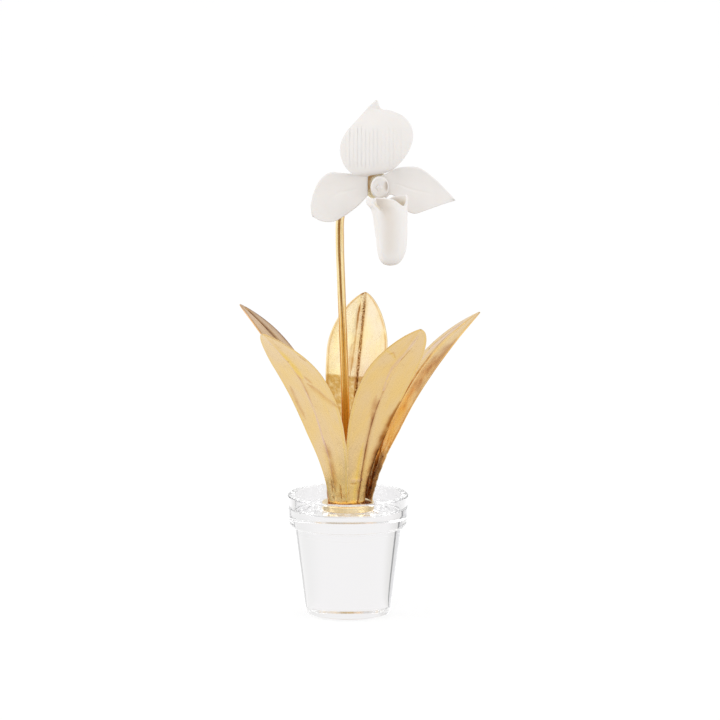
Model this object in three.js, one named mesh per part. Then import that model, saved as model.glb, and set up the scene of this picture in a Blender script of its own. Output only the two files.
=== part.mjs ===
// A slipper orchid ornament: a white bisque porcelain bloom on a gilt brass stem, with five gilt brass
// leaves brazed to a round brass disc, standing in the well of a solid clear glass flowerpot.
// Millimetres, +Z up. The origin is the middle of the pot's base, and -Y is the side the bloom faces.
import * as THREE from "three";

// ---------------------------------------------------------------- driving dimensions

const GAP = 0.3; // clearance kept between pieces that rest on each other

// The pot: a three inch flowerpot shape in solid glass, with a shallow well in its top.
const POT = {
  height: 76.2,
  rimRadius: 38.1,
  rimFootRadius: 37.2,
  rimHeight: 20.2,
  bodyTopRadius: 33.9,
  bodyFootRadius: 26.9,
  wellRadius: 33.4,
  wellDepth: 8.8,
  wellRound: 2,
  lipRound: 0.8,
  rimFootRound: 2.6,
  footRound: 1.9,
  sides: 48,
};

// The round brass disc that carries the stem and the leaves.
const DISC = { radius: 16.4, thickness: 3.9, edgeRound: 0.6, sides: 40 };

const STEM = { radius: 2.6, sides: 12, steps: 42 };

// Every leaf is cut from the same blank: a strap that swells to its widest two thirds of the way up.
const BLANK = {
  halfWidth: 21.2,
  base: 0.345,
  peak: 0.71,
  rise: 1.4,
  fall: 1.8,
  round: 0.7,
};
const LEAF_THICKNESS = 0.8;
const MIDRIB = { halfWidth: 1.9, depth: 0.7 };
const WRAP = { radius: 13, share: 0.35 }; // a base wraps this tightly, over this share of the length
const LEAF_ROWS = 20;
const LEAF_SEAT = 0.5; // height of a leaf's midline above the disc at its foot

// Angles in degrees. azimuth is where the base stands and then where the tip points, lean is from
// upright at base and tip, and roll turns the blade about its own midrib at base and tip. fold lifts
// both halves towards the stem, curl bends them evenly, and reach is the base's distance from the axis.
const LEAVES = [
  {
    name: "leaf_front_left",
    azimuth: [240.5, 224.5],
    lean: [11.5, 54.8],
    bend: 1.22,
    length: 139.5,
    fold: 3.2,
    curl: -0.002,
    roll: [-2.2, -2.4],
    reach: 13,
  },
  {
    name: "leaf_front_right",
    azimuth: [301.5, 309],
    lean: [3, 48.6],
    bend: 0.79,
    length: 138.8,
    fold: 3.4,
    curl: -0.003,
    roll: [1, 0.6],
    reach: 11.2,
  },
  {
    name: "leaf_right",
    azimuth: [17, 10],
    lean: [11.5, 57.8],
    bend: 1.3,
    length: 141.8,
    fold: 0.2,
    curl: -0.004,
    roll: [14, -4],
    reach: 13.5,
  },
  {
    name: "leaf_back",
    azimuth: [87, 74.5],
    lean: [29.8, 22.3],
    bend: 1.12,
    length: 136.5,
    fold: 17.4,
    curl: 0,
    roll: [4, -6.4],
    reach: 12.5,
  },
  {
    name: "leaf_back_left",
    azimuth: [159.7, 160.7],
    lean: [2, 55],
    bend: 1.17,
    length: 140.8,
    fold: 0.2,
    curl: 0,
    roll: [0.5, 8.8],
    reach: 12.4,
  },
];

// The bloom, in its own frame: origin on the front of the calyx plate, +x to the right of someone
// facing the bloom, +z up and -y towards them.
const BLOOM_AT = [18.7, -15.5, 273.6];
const PETAL_THICKNESS = 1.3;

// Each petal hangs between two rails, its left and right edges as seen from the front, which run
// from its claw on the calyx to its tip. bulge is how far its middle stands forward of the edges.
const DORSAL_SEPAL = {
  left: [
    [-4.0, -0.5, 7.8],
    [-8.5, -3.2, 7.4],
    [-15.0, -5.2, 8.2],
    [-20.4, -5.4, 13.2],
    [-23.2, -5.0, 20.0],
    [-23.1, -4.8, 27.6],
    [-19.4, -4.8, 34.8],
    [-14.0, -5.0, 41.0],
    [-8.4, -5.6, 47.4],
    [-4.6, -6.4, 51.8],
    [-1.7, -6.8, 54.2],
  ],
  right: [
    [3.0, -0.5, 8.6],
    [5.8, -2.8, 9.8],
    [10.0, -4.9, 12.0],
    [15.0, -5.2, 16.8],
    [19.5, -5.0, 23.8],
    [21.7, -4.8, 31.8],
    [20.2, -4.8, 38.8],
    [15.3, -5.0, 44.4],
    [8.6, -5.4, 47.5],
    [2.0, -6.0, 49.0],
    [-0.3, -6.8, 54.2],
  ],
  bulge: 4.2,
  lines: 18,
  lineDepth: 0.3,
};

const LEFT_PETAL = {
  left: [
    [-6.3, -1.3, -5.6],
    [-12.4, -2.0, -11.9],
    [-21.0, -3.0, -18.2],
    [-27.4, -4.0, -21.3],
    [-34.6, -5.4, -21.0],
    [-40.2, -6.6, -18.2],
  ],
  right: [
    [-6.3, -1.3, 6.7],
    [-10.6, -1.6, 7.9],
    [-16.1, -2.2, 8.2],
    [-23.0, -3.2, 8.9],
    [-29.4, -4.2, 9.4],
    [-35.2, -5.4, 5.8],
    [-39.6, -6.4, -2.2],
    [-41.7, -6.8, -11.0],
    [-41.2, -6.8, -16.6],
  ],
  bulge: -2.2,
};

const RIGHT_PETAL = {
  left: [
    [0.6, -1.4, 6.6],
    [4.4, -1.6, 7.9],
    [8.8, -1.9, 10.4],
    [13.6, -2.5, 12.2],
    [20.2, -2.9, 12.8],
    [26.0, -2.8, 11.8],
    [35.9, -2.2, 4.5],
    [43.3, -1.2, -3.0],
    [47.6, -0.6, -7.9],
  ],
  right: [
    [4.4, -1.3, -7.2],
    [6.0, -1.3, -6.5],
    [6.7, -1.4, -5.2],
    [8.7, -1.5, -5.0],
    [13.0, -1.7, -8.6],
    [17.2, -1.9, -14.4],
    [22.4, -2.0, -16.8],
    [30.9, -1.8, -14.3],
    [41.5, -1.0, -10.6],
    [47.6, -0.6, -8.9],
  ],
  bulge: -1.6,
};

// The slipper: rings from the mouth down to the toe, each [centre x, centre y, centre z, half width,
// half depth, depth of the fold down its front, degrees where that fold starts]. Degrees are counted
// from the front by the right. The rim of the mouth rises and falls round the first ring as [degrees,
// height], and rimShare is how much of that the next rings keep.
const POUCH = {
  rings: [
    [5.4, -13.0, -7.0, 13.1, 7.4, 5.2, -38],
    [5.5, -13.2, -9.6, 12.7, 7.9, 4.8, -36],
    [6.8, -13.6, -12.2, 11.4, 8.2, 4.0, -32],
    [7.5, -14.2, -17.0, 10.7, 8.5, 2.4, -28],
    [7.9, -15.0, -24.0, 10.2, 8.6, 1.5, -28],
    [8.4, -15.8, -31.0, 9.6, 8.4, 1.2, -30],
    [8.4, -16.6, -37.5, 8.9, 7.8, 0.8, -32],
    [8.0, -17.2, -42.6, 7.3, 6.6, 0.3, -34],
    [7.7, -17.6, -45.8, 4.6, 4.2, 0, -34],
  ],
  toe: [7.6, -17.7, -47.0],
  toeThickness: 1.8,
  rim: [
    [0, -6.0],
    [20, -6.6],
    [55, -10.6],
    [76, -8.0],
    [98, -4.8],
    [135, -5.2],
    [160, -6.0],
    [178, -8.0],
    [200, -8.4],
    [230, -7.2],
    [275, -5.8],
    [320, -5.8],
    [360, -6.0],
  ],
  rimShare: [1, 0.45, 0.1],
  wall: 1.4,
  sides: 40,
};
const HEEL = { at: 196, spread: 16, reach: 5.7, share: [1, 0.5] }; // the pouch's claw, seated on the calyx

// The fold down the slipper's front. width is in degrees, and the rest but slackDepth are shares of
// it: where its left side goes in, steep near the mouth and slack from slackDepth down, and where its
// right side comes easily back out.
const FRONT_FOLD = {
  width: 62,
  steep: [-0.08, 0.14],
  slack: [-0.35, 0.3],
  slackDepth: [10, 20],
  easy: [0.3, 1.1],
};

// The column: a neck on the calyx and, in front of it, an oval shield set off to one side and tilted.
// bend is where along the neck it leaves its own axis for the shield's.
const COLUMN = {
  neckRadius: 1.9,
  neckLength: 4.4,
  bend: [2.3, 4.0],
  halfWidth: 5.6,
  stretch: 1.25,
  at: [1.0, 0.2],
  thickness: 1.6,
  lip: 0.4,
  tilt: 16,
  sides: 28,
};

const CALYX = {
  centre: [-0.6, 0.4],
  radius: 8.4,
  thickness: 1.5,
  edgeRound: 0.4,
  socketRadius: 4.4,
  socketLength: 6.5,
  sides: 28,
};

// ---------------------------------------------------------------- materials

const gilt = new THREE.MeshStandardMaterial({ color: 0xd9a84e, roughness: 0.32, metalness: 1 });
const bisque = new THREE.MeshStandardMaterial({ color: 0xf1ece6, roughness: 0.75, metalness: 0 });
const glass = new THREE.MeshStandardMaterial({
  color: 0xf4f8f8,
  roughness: 0.02,
  metalness: 0,
  transparent: true,
  opacity: 0.35,
});

// ---------------------------------------------------------------- shape helpers

const rad = THREE.MathUtils.degToRad;
const lerp = THREE.MathUtils.lerp;
const clamp01 = (x) => THREE.MathUtils.clamp(x, 0, 1);
const smoothstep = THREE.MathUtils.smoothstep;
const vec = (p) => new THREE.Vector3(...p);
const vec2 = (r, z) => new THREE.Vector2(r, z);
const splineThrough = (points) => new THREE.CatmullRomCurve3(points.map(vec), false, "centripetal");

function mesh(name, geometry, material) {
  const made = new THREE.Mesh(geometry, material);
  made.name = name;
  return made;
}

// A geometry from a list of points and triangles, turned so that its faces point out.
function closedGeometry(points, triangles) {
  const normal = new THREE.Vector3();
  const sixVolumes = triangles.map(([a, b, c]) => points[a].dot(normal.crossVectors(points[b], points[c])));
  const facesOut = sixVolumes.reduce((sum, v) => sum + v) > 0;
  const geometry = new THREE.BufferGeometry().setFromPoints(points);
  geometry.setIndex(triangles.flatMap(([a, b, c]) => (facesOut ? [a, b, c] : [a, c, b])));
  geometry.computeVertexNormals();
  return geometry;
}

// A closed sheet of even thickness about the surface pointAt(s, v), s from 0 to 1 and v from -1 to 1.
// Both faces are split into the same triangles.
function sheetGeometry(pointAt, stations, columns, thickness) {
  const step = 1e-3;
  const points = [];
  for (const s of stations) {
    for (const v of columns) {
      const along = pointAt(Math.min(1, s + step), v).sub(pointAt(Math.max(0, s - step), v));
      const across = pointAt(s, Math.min(1, v + step)).sub(pointAt(s, Math.max(-1, v - step)));
      const half = along.cross(across).setLength(thickness / 2);
      const middle = pointAt(s, v);
      points.push(middle.clone().add(half), middle.clone().sub(half));
    }
  }
  const last = { row: stations.length - 1, column: columns.length - 1 };
  const at = (i, j, side) => 2 * (i * columns.length + j) + side;
  const triangles = [];
  const quad = (a, b, c, d) => triangles.push([a, b, c], [a, c, d]);
  for (let i = 0; i < last.row; i++) {
    for (let j = 0; j < last.column; j++) {
      quad(at(i, j, 0), at(i + 1, j, 0), at(i + 1, j + 1, 0), at(i, j + 1, 0));
      triangles.push([at(i, j, 1), at(i + 1, j + 1, 1), at(i + 1, j, 1)]);
      triangles.push([at(i, j, 1), at(i, j + 1, 1), at(i + 1, j + 1, 1)]);
    }
    quad(at(i, 0, 0), at(i, 0, 1), at(i + 1, 0, 1), at(i + 1, 0, 0));
    quad(at(i, last.column, 0), at(i + 1, last.column, 0), at(i + 1, last.column, 1), at(i, last.column, 1));
  }
  for (let j = 0; j < last.column; j++) {
    quad(at(0, j, 0), at(0, j + 1, 0), at(0, j + 1, 1), at(0, j, 1));
    quad(at(last.row, j, 0), at(last.row, j, 1), at(last.row, j + 1, 1), at(last.row, j + 1, 0));
  }
  return closedGeometry(points, triangles);
}

// Stations along a blade, closer together towards its tip.
const stationsTo = (rows) => Array.from({ length: rows + 1 }, (_, i) => 1 - (1 - i / rows) ** 1.6);

// Even columns across a blade, from one edge to the other.
const evenly = (columns) => Array.from({ length: columns + 1 }, (_, j) => (2 * j) / columns - 1);

// Points of a profile's arc in a plane of (radius, height), for rounding an edge.
function arc(centreR, centreZ, radius, fromDegrees, toDegrees, steps) {
  return Array.from({ length: steps + 1 }, (_, i) => {
    const a = rad(lerp(fromDegrees, toDegrees, i / steps));
    return vec2(centreR + radius * Math.cos(a), centreZ + radius * Math.sin(a));
  });
}

// LatheGeometry turns a profile about +Y, so a quarter turn stands it up.
const lathe = (profile, sides) => new THREE.LatheGeometry(profile, sides).rotateX(Math.PI / 2);

// ---------------------------------------------------------------- pot and disc

const WELL_FLOOR = POT.height - POT.wellDepth;
const DISC_FOOT = WELL_FLOOR + GAP;
const DISC_TOP = DISC_FOOT + DISC.thickness;

function potGeometry() {
  const { height, rimRadius, rimFootRadius, bodyTopRadius, bodyFootRadius, wellRadius } = POT;
  const { wellRound, lipRound, rimFootRound, footRound, sides } = POT;
  const rimFoot = height - POT.rimHeight;
  const profile = [
    vec2(0, 0),
    ...arc(bodyFootRadius - footRound, footRound, footRound, -90, -5, 4),
    vec2(bodyTopRadius, rimFoot),
    ...arc(rimFootRadius - rimFootRound, rimFoot + rimFootRound, rimFootRound, -75, -3, 4),
    ...arc(rimRadius - lipRound, height - lipRound, lipRound, 0, 90, 2),
    ...arc(wellRadius + lipRound, height - lipRound, lipRound, 90, 180, 2),
    ...arc(wellRadius - wellRound, WELL_FLOOR + wellRound, wellRound, 0, -90, 3),
    vec2(0, WELL_FLOOR),
  ];
  return lathe(profile, sides);
}

function discGeometry() {
  const { radius, edgeRound, sides } = DISC;
  const bore = STEM.radius + GAP;
  const profile = [
    vec2(bore, DISC_FOOT),
    ...arc(radius - edgeRound, DISC_FOOT + edgeRound, edgeRound, -90, 0, 2),
    ...arc(radius - edgeRound, DISC_TOP - edgeRound, edgeRound, 0, 90, 2),
    vec2(bore, DISC_TOP),
    vec2(bore, DISC_FOOT),
  ];
  return lathe(profile, sides);
}

// ---------------------------------------------------------------- stem and calyx

// The stem stands in the disc's hole, leans a little to the left as it rises, then arches to the
// right and forward into the socket behind the calyx.
function stemGeometry() {
  const x = BLOOM_AT[0] + CALYX.centre[0];
  const y = BLOOM_AT[1] + CALYX.thickness;
  const z = BLOOM_AT[2] + CALYX.centre[1];
  const route = splineThrough([
    [0, 0, DISC_FOOT],
    [-0.2, 0, 80],
    [-0.7, 0, 100],
    [-2.0, 0, 150],
    [-3.8, 0.2, 200],
    [-5.0, 0.6, 238],
    [-4.7, 1.0, 252],
    [-2.2, 1.6, 262.5],
    [3.4, 2.0, 270],
    [x - 7.6, y + 15.0, z - 0.8],
    [x - 2.0, y + 11.6, z],
    [x, y + 7.4, z],
    [x, y + 4.2, z],
    [x, y + 2 * GAP, z],
  ]);
  const section = new THREE.Shape().absarc(0, 0, STEM.radius, 0, 2 * Math.PI);
  return new THREE.ExtrudeGeometry(section, {
    steps: STEM.steps,
    curveSegments: STEM.sides / 2,
    extrudePath: route,
    bevelEnabled: false,
  });
}

// The plate that the petals are seated on, with a socket behind it for the stem, turned about y.
function calyxGeometry() {
  const { radius, thickness, edgeRound, socketRadius, socketLength, sides } = CALYX;
  const bore = STEM.radius + GAP;
  const profile = [
    vec2(0, 0),
    vec2(radius - edgeRound, 0),
    vec2(radius, edgeRound),
    vec2(radius, thickness - edgeRound),
    vec2(radius - edgeRound, thickness),
    vec2(socketRadius, thickness),
    vec2(socketRadius, thickness + socketLength),
    vec2(bore, thickness + socketLength),
    vec2(bore, thickness + GAP),
    vec2(0, thickness + GAP),
  ];
  return new THREE.LatheGeometry(profile, sides);
}

// ---------------------------------------------------------------- leaves

// Half width of the leaf blank at a share of its length.
function blankHalfWidth(s) {
  const { halfWidth, base, peak, rise, fall, round } = BLANK;
  if (s < peak) return halfWidth * (base + (1 - base) * Math.sin((Math.PI / 2) * (s / peak)) ** rise);
  const closing = clamp01(1 - ((s - peak) / (1 - peak)) ** fall);
  return Math.max(LEAF_THICKNESS / 2, halfWidth * closing ** round);
}

// Where a section that starts at a fold angle and then curls evenly has got to after a length d:
// how far across the leaf, and how far it has risen.
function curledSection(d, fold, curl) {
  const turn = fold + curl * Math.abs(d);
  if (Math.abs(curl) < 1e-6) return [d * Math.cos(fold), Math.abs(d) * Math.sin(fold)];
  const across = (Math.sin(turn) - Math.sin(fold)) / curl;
  return [Math.sign(d) * across, (Math.cos(fold) - Math.cos(turn)) / curl];
}

function leafGeometry(leaf) {
  const leanAt = (s) => rad(lerp(leaf.lean[0], leaf.lean[1], s ** leaf.bend));
  const azimuthAt = (s) => rad(lerp(leaf.azimuth[0], leaf.azimuth[1], s ** 0.7));
  const towards = (lean, azimuth) => new THREE.Vector3().setFromSphericalCoords(1, lean, azimuth);
  const toZUp = ({ x, y, z }) => new THREE.Vector3(z, x, y);

  // The midrib's line, worked out in short steps along its heading.
  const steps = 240;
  const foot = rad(leaf.azimuth[0]);
  const midline = [new THREE.Vector3(Math.cos(foot), Math.sin(foot), 0).multiplyScalar(leaf.reach)];
  midline[0].z = DISC_TOP + LEAF_SEAT;
  for (let i = 0; i < steps; i++) {
    const s = (i + 0.5) / steps;
    const heading = toZUp(towards(leanAt(s), azimuthAt(s)));
    midline.push(midline[i].clone().addScaledVector(heading, leaf.length / steps));
  }
  const midlineAt = (s) => {
    const i = Math.min(steps - 1, Math.floor(s * steps));
    return midline[i].clone().lerp(midline[i + 1], s * steps - i);
  };

  const pointAt = (s, v) => {
    const lean = leanAt(s);
    const azimuth = azimuthAt(s);
    const level = new THREE.Vector3(-Math.sin(azimuth), Math.cos(azimuth), 0);
    const inward = toZUp(towards(lean - Math.PI / 2, azimuth));
    const roll = rad(lerp(leaf.roll[0], leaf.roll[1], s));
    const side = level.clone().multiplyScalar(Math.cos(roll)).addScaledVector(inward, Math.sin(roll));
    const face = inward.clone().multiplyScalar(Math.cos(roll)).addScaledVector(level, -Math.sin(roll));
    const d = v * blankHalfWidth(s);
    const fold = rad(leaf.fold) * Math.min(1, s / 0.3);
    const curl = leaf.curl + Math.max(0, 1 - s / WRAP.share) ** 1.5 / WRAP.radius;
    const [across, rise] = curledSection(d, fold, curl);
    const inRib = clamp01(1 - Math.abs(d) / MIDRIB.halfWidth) * clamp01(s / 0.08) * clamp01((1 - s) / 0.06);
    return midlineAt(s).addScaledVector(side, across).addScaledVector(face, rise - MIDRIB.depth * inRib);
  };
  const rib = MIDRIB.halfWidth / BLANK.halfWidth;
  const columns = [-1, -0.67, -0.36, -rib, 0, rib, 0.36, 0.67, 1];
  return sheetGeometry(pointAt, stationsTo(LEAF_ROWS), columns, LEAF_THICKNESS);
}

// ---------------------------------------------------------------- bloom

// A petal between its two rails. relief raises its front.
function petalGeometry({ left, right, bulge }, rows, columns, relief = () => 0) {
  const leftRail = splineThrough(left);
  const rightRail = splineThrough(right);
  const pointAt = (s, v) => {
    const point = leftRail.getPointAt(s).lerp(rightRail.getPointAt(s), (v + 1) / 2);
    point.y -= bulge * Math.sin(Math.PI * Math.min(1, 1.1 * s)) * (1 - v * v) + relief(s, v);
    return point;
  };
  return sheetGeometry(pointAt, stationsTo(rows), evenly(columns), PETAL_THICKNESS);
}

// Fine lines run up the sepal from claw to tip, with one column on each crest and one in each groove.
function dorsalSepalGeometry() {
  const { lines, lineDepth } = DORSAL_SEPAL;
  const relief = (s, v) => {
    const fade = clamp01((s - 0.2) / 0.1) * clamp01((0.85 - s) / 0.15);
    return (lineDepth / 2) * Math.cos(Math.PI * lines * (v + 1)) * fade;
  };
  return petalGeometry(DORSAL_SEPAL, 17, 2 * lines, relief);
}

// A smooth bump round a ring: 1 at the given degrees, fading away on both sides.
function bump(degrees, at, spread) {
  const away = ((degrees - at + 540) % 360) - 180;
  return Math.exp(-((away / spread) ** 2));
}

// The height of the slipper's rim all the way round.
function rimHeights(sides) {
  const curve = splineThrough(POUCH.rim.map(([degrees, z]) => [degrees, 0, z]));
  const samples = curve.getPoints(20 * sides);
  return Array.from({ length: sides }, (_, i) => samples.find((p) => p.x >= (360 * i) / sides).z);
}

// How far into the slipper's front fold a point of a ring lies, from 0 to 1.
function inFold(degrees, start, z) {
  const { width, steep, slack, slackDepth, easy } = FRONT_FOLD;
  const across = (((degrees - start + 180) % 360) - 180) / width;
  const share = smoothstep(-z, ...slackDepth);
  const entry = smoothstep(across, lerp(steep[0], slack[0], share), lerp(steep[1], slack[1], share));
  return entry * (1 - smoothstep(across, ...easy));
}

// The slipper is a hollow shell: outer rings down to the toe, inner rings back up, joined at the rim.
function pouchGeometry() {
  const { rings, toe, toeThickness, rimShare, wall, sides } = POUCH;
  const rim = rimHeights(sides);
  const points = [];
  const addRing = (k, inset) => {
    const [x, y, z, halfWidth, halfDepth, fold, foldStart] = rings[k];
    for (let i = 0; i < sides; i++) {
      const degrees = (360 * i) / sides;
      const a = rad(degrees);
      const back = HEEL.reach * bump(degrees, HEEL.at, HEEL.spread) * (HEEL.share[k] ?? 0);
      const dent = fold * inFold(degrees, foldStart, z);
      const px = x + (halfWidth - inset) * Math.sin(a);
      const py = y - (halfDepth - inset) * Math.cos(a) + back + dent;
      points.push(new THREE.Vector3(px, py, z + (rimShare[k] ?? 0) * (rim[i] - rings[0][2])));
    }
  };
  const outerRings = rings.length;
  const innerRings = rings.length - 1;
  for (let k = 0; k < outerRings; k++) addRing(k, 0);
  const outerToe = points.push(vec(toe)) - 1;
  const innerStart = points.length;
  for (let k = 0; k < innerRings; k++) addRing(k, wall);
  const innerToe = points.push(vec(toe).add(new THREE.Vector3(0, 0, toeThickness))) - 1;

  const triangles = [];
  const next = (i) => (i + 1) % sides;
  const facing = (flip, a, b, c) => triangles.push(flip ? [a, c, b] : [a, b, c]);
  const band = (a, b, flip) => {
    for (let i = 0; i < sides; i++) {
      facing(flip, a + i, b + i, b + next(i));
      facing(flip, a + i, b + next(i), a + next(i));
    }
  };
  const cap = (ring, tip, flip) => {
    for (let i = 0; i < sides; i++) facing(flip, ring + i, tip, ring + next(i));
  };
  for (let k = 0; k < outerRings - 1; k++) band(k * sides, (k + 1) * sides, false);
  cap((outerRings - 1) * sides, outerToe, false);
  for (let k = 0; k < innerRings - 1; k++) band(innerStart + k * sides, innerStart + (k + 1) * sides, true);
  cap(innerStart + (innerRings - 1) * sides, innerToe, true);
  band(0, innerStart, true);
  return closedGeometry(points, triangles);
}

// The column is turned about y, its front facing -y, and each point is then moved over to the shield.
function columnGeometry() {
  const { neckRadius, neckLength, bend, halfWidth, stretch, at, thickness, lip, tilt, sides } = COLUMN;
  const front = neckLength + thickness;
  const edge = thickness / 2;
  const profile = [
    vec2(0, 0),
    ...[0, 1.2, ...bend, neckLength - 0.2].map((h) => vec2(neckRadius, h)),
    ...arc(halfWidth - edge, neckLength + edge, edge, -90, 90, 4),
    vec2(0.84 * halfWidth - lip, front + lip),
    vec2(0.62 * halfWidth, front - lip / 2),
    vec2(0.3 * halfWidth, front - lip),
    vec2(0, front - lip),
  ];
  const geometry = new THREE.LatheGeometry(profile, sides).rotateZ(Math.PI);
  const places = geometry.getAttribute("position");
  for (let i = 0; i < places.count; i++) {
    const [x, y, z] = [places.getX(i), places.getY(i), places.getZ(i)];
    const bent = smoothstep(-y, ...bend);
    const back = Math.tan(rad(tilt)) * x * bent;
    places.setXYZ(i, x + at[0] * bent, y + back, z * lerp(1, stretch, bent) + at[1] * bent);
  }
  geometry.computeVertexNormals();
  return geometry;
}

// ---------------------------------------------------------------- the whole ornament

const ornament = new THREE.Group();
ornament.add(mesh("pot", potGeometry(), glass));
ornament.add(mesh("base_disc", discGeometry(), gilt));
ornament.add(mesh("stem", stemGeometry(), gilt));
for (const leaf of LEAVES) ornament.add(mesh(leaf.name, leafGeometry(leaf), gilt));

const bloom = new THREE.Group();
bloom.position.set(...BLOOM_AT);
ornament.add(bloom);

const calyx = mesh("calyx", calyxGeometry(), gilt);
calyx.position.set(CALYX.centre[0], 0, CALYX.centre[1]);
bloom.add(calyx);

const column = mesh("column", columnGeometry(), bisque);
column.position.set(0, -GAP, 0);
bloom.add(column);

bloom.add(mesh("dorsal_sepal", dorsalSepalGeometry(), bisque));
bloom.add(mesh("petal_left", petalGeometry(LEFT_PETAL, 14, 8), bisque));
bloom.add(mesh("petal_right", petalGeometry(RIGHT_PETAL, 16, 8), bisque));
bloom.add(mesh("pouch", pouchGeometry(), bisque));

export default ornament;
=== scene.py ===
"""A slipper orchid ornament: a white bisque porcelain bloom on a gilt brass stem, with five gilt brass
leaves brazed to a round brass disc, standing in the well of a solid clear glass flowerpot.

Lengths are millimetres until a mesh is made, which is in metres. +Z is up, the origin is the middle
of the pot's base, and the bloom faces -Y.
"""

import math

import bmesh
import bpy
import numpy as np
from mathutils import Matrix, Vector, noise


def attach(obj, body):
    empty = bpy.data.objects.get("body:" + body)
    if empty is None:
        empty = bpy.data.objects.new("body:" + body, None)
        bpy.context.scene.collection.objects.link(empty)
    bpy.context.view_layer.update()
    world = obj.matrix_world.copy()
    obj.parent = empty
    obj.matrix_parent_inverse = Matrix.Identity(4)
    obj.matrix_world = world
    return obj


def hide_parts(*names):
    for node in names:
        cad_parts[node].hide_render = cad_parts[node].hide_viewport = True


MM = 0.001
GAP = 0.3  # clearance kept between pieces that rest on each other
SPLINE_STEPS = 24  # straight steps between two points of a curve
EDGE_STEPS = 6  # steps round the edge of a sheet
CLOSER_AT_TIP = 1.6  # how much closer together a sheet's rows come towards its tip
BACK_GRAIN = 7  # how far a sheet's back is set off in the grain, so that its two faces differ

# ------------------------------------------------------------------ driving dimensions

POT = dict(
    height=76.2,
    rim_radius=38.1,
    rim_foot_radius=37.2,
    rim_height=20.2,
    body_top_radius=33.9,
    body_foot_radius=26.9,
    well_radius=33.4,
    well_depth=8.8,
    well_round=2.0,
    lip_round=0.8,
    rim_foot_round=2.6,
    foot_round=1.9,
    sides=384,
)
DISC = dict(radius=16.4, thickness=3.9, edge_round=0.6, sides=128)
# A drawn rod. lines and dents are its relief, which sets in over the distances plain_foot and plain_end
# from its two ends. Its colour has light painted in: deeper and darker are the heights between which it
# turns deeper, then darker, going down, a painted reflection of the gilt leaves round it; above them it
# is paler, a painted highlight; and dark_reflection_side is the degrees from its front between which its
# right side turns darker, a painted reflection.
STEM = dict(
    radius=2.6,
    sides=48,
    steps=260,
    lines=dict(depth=0.10, scale=1.0, stretch=(0.55, 0.55, 0.012), octaves=2),
    dents=dict(depth=0.07, scale=1.0, stretch=(0.25, 0.25, 0.09), octaves=2),
    plain_foot=(3, 12),
    plain_end=(14, 8),
    deeper=(105, 190),
    darker=(125, 165),
    dark_reflection_side=(36, 54),
)

# The blank that all five leaves are cut from. base is the width of its foot as a share of its widest,
# which lies at peak along it. rise shapes its edge up to there, and fall and round from there on.
BLANK = dict(half_width=21.2, base=0.345, peak=0.71, rise=1.4, fall=1.8, round=0.7)
LEAF_THICKNESS = 0.8
LEAF_ROWS = 260
LEAF_COLUMNS = 84
LEAF_STEPS = 960  # steps along a leaf's midline
LEAF_SEAT = 0.5  # height of the leaves' feet over the disc
WRAP = dict(radius=13, share=0.35, opening=1.5)  # how a leaf's foot curls round the stem, then opens
NO_CURL = 1e-6  # the least curl that the blade's curve is worked out for
FOLD_OPENS = 0.3  # share of the length over which a leaf's fold opens
EARLY_TURN = 0.7  # how much sooner than its length a leaf turns to its tip's azimuth
# The pressed midrib: flank is how much of it slopes, and foot and tip the shares over which it fades out.
MIDRIB = dict(half_width=1.9, depth=0.7, flank=0.9, foot=0.08, tip=0.06)
# The beading along a knurled midrib: how much it adds to the rib's relief and tint, and the tint between.
KNURL = dict(scale=1.1, relief=1.2, tint=1.2, rest=0.75)
RIM_LINE = dict(inset=0.9, half_width=0.7)  # the tinted line just inside a leaf's edge
DARK_REFLECTION_SOFT = 0.004  # share of the length over which the painted darker reflection on a leaf fades out
MARK_TAPER = dict(share=0.15, least=0.35)  # how a mark narrows towards both its ends
# Relief worked into each blade, with stretch its lumps' shape across, through and along it.
HAMMERED = dict(depth=0.22, scale=0.055, stretch=(1, 1, 0.6), octaves=2)
DENTED = dict(depth=0.35, scale=0.3, stretch=(1, 1, 1), octaves=3)
PLEATED = dict(depth=0.3, scale=0.34, stretch=(1, 1, 0.12), octaves=2)
HAMMERED_FROM = (0.1, 0.3)  # shares of the length between which the hammering sets in
FOOT_CRUMPLE = (0.04, 0.14)  # shares of the length between which a foot's dents and pleats die away
FOOT_FLAT = 0.02  # share of the length that stays flat under them

# Tints on the gilding. Some are its own tones and marks, and some are painted light: painted highlights,
# reflections and shade, noted where each is used.
PALE = (0.92, 0.91, 1.45)
SOFT = (0.82, 0.68, 0.58)
GOLDEN = (1.02, 0.99, 0.62)
AMBER = (1.15, 0.94, 0.55)
CREAM = (1.25, 1.28, 1.35)
TAN = (0.70, 0.52, 0.36)
BROWN = (0.58, 0.36, 0.15)
DARK = (0.42, 0.20, 0.06)
# The darkest brown: painted shade along one leaf's edge, and the darkening towards another leaf's foot.
DARKEST_BROWN = (0.17, 0.08, 0.03)
DARK_REFLECTION = (0.65, 0.47, 0.22)
UMBER = (0.77, 0.57, 0.33)
LEAF_REFLECTION = (1.0, 0.90, 0.55)
DEEP_LEAF_REFLECTION = (0.74, 0.54, 0.28)
BRIGHT = (1.14, 1.14, 1.0)
CLEAR = (1.15, 1.19, 1.16)
ROD_HIGHLIGHT = (1.08, 1.17, 1.4)
DISC_HIGHLIGHT = (1.06, 1.1, 1.3)
PLAIN = (1, 1, 1)
DULLED = (1.05, 1.35, 2.3)
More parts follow.
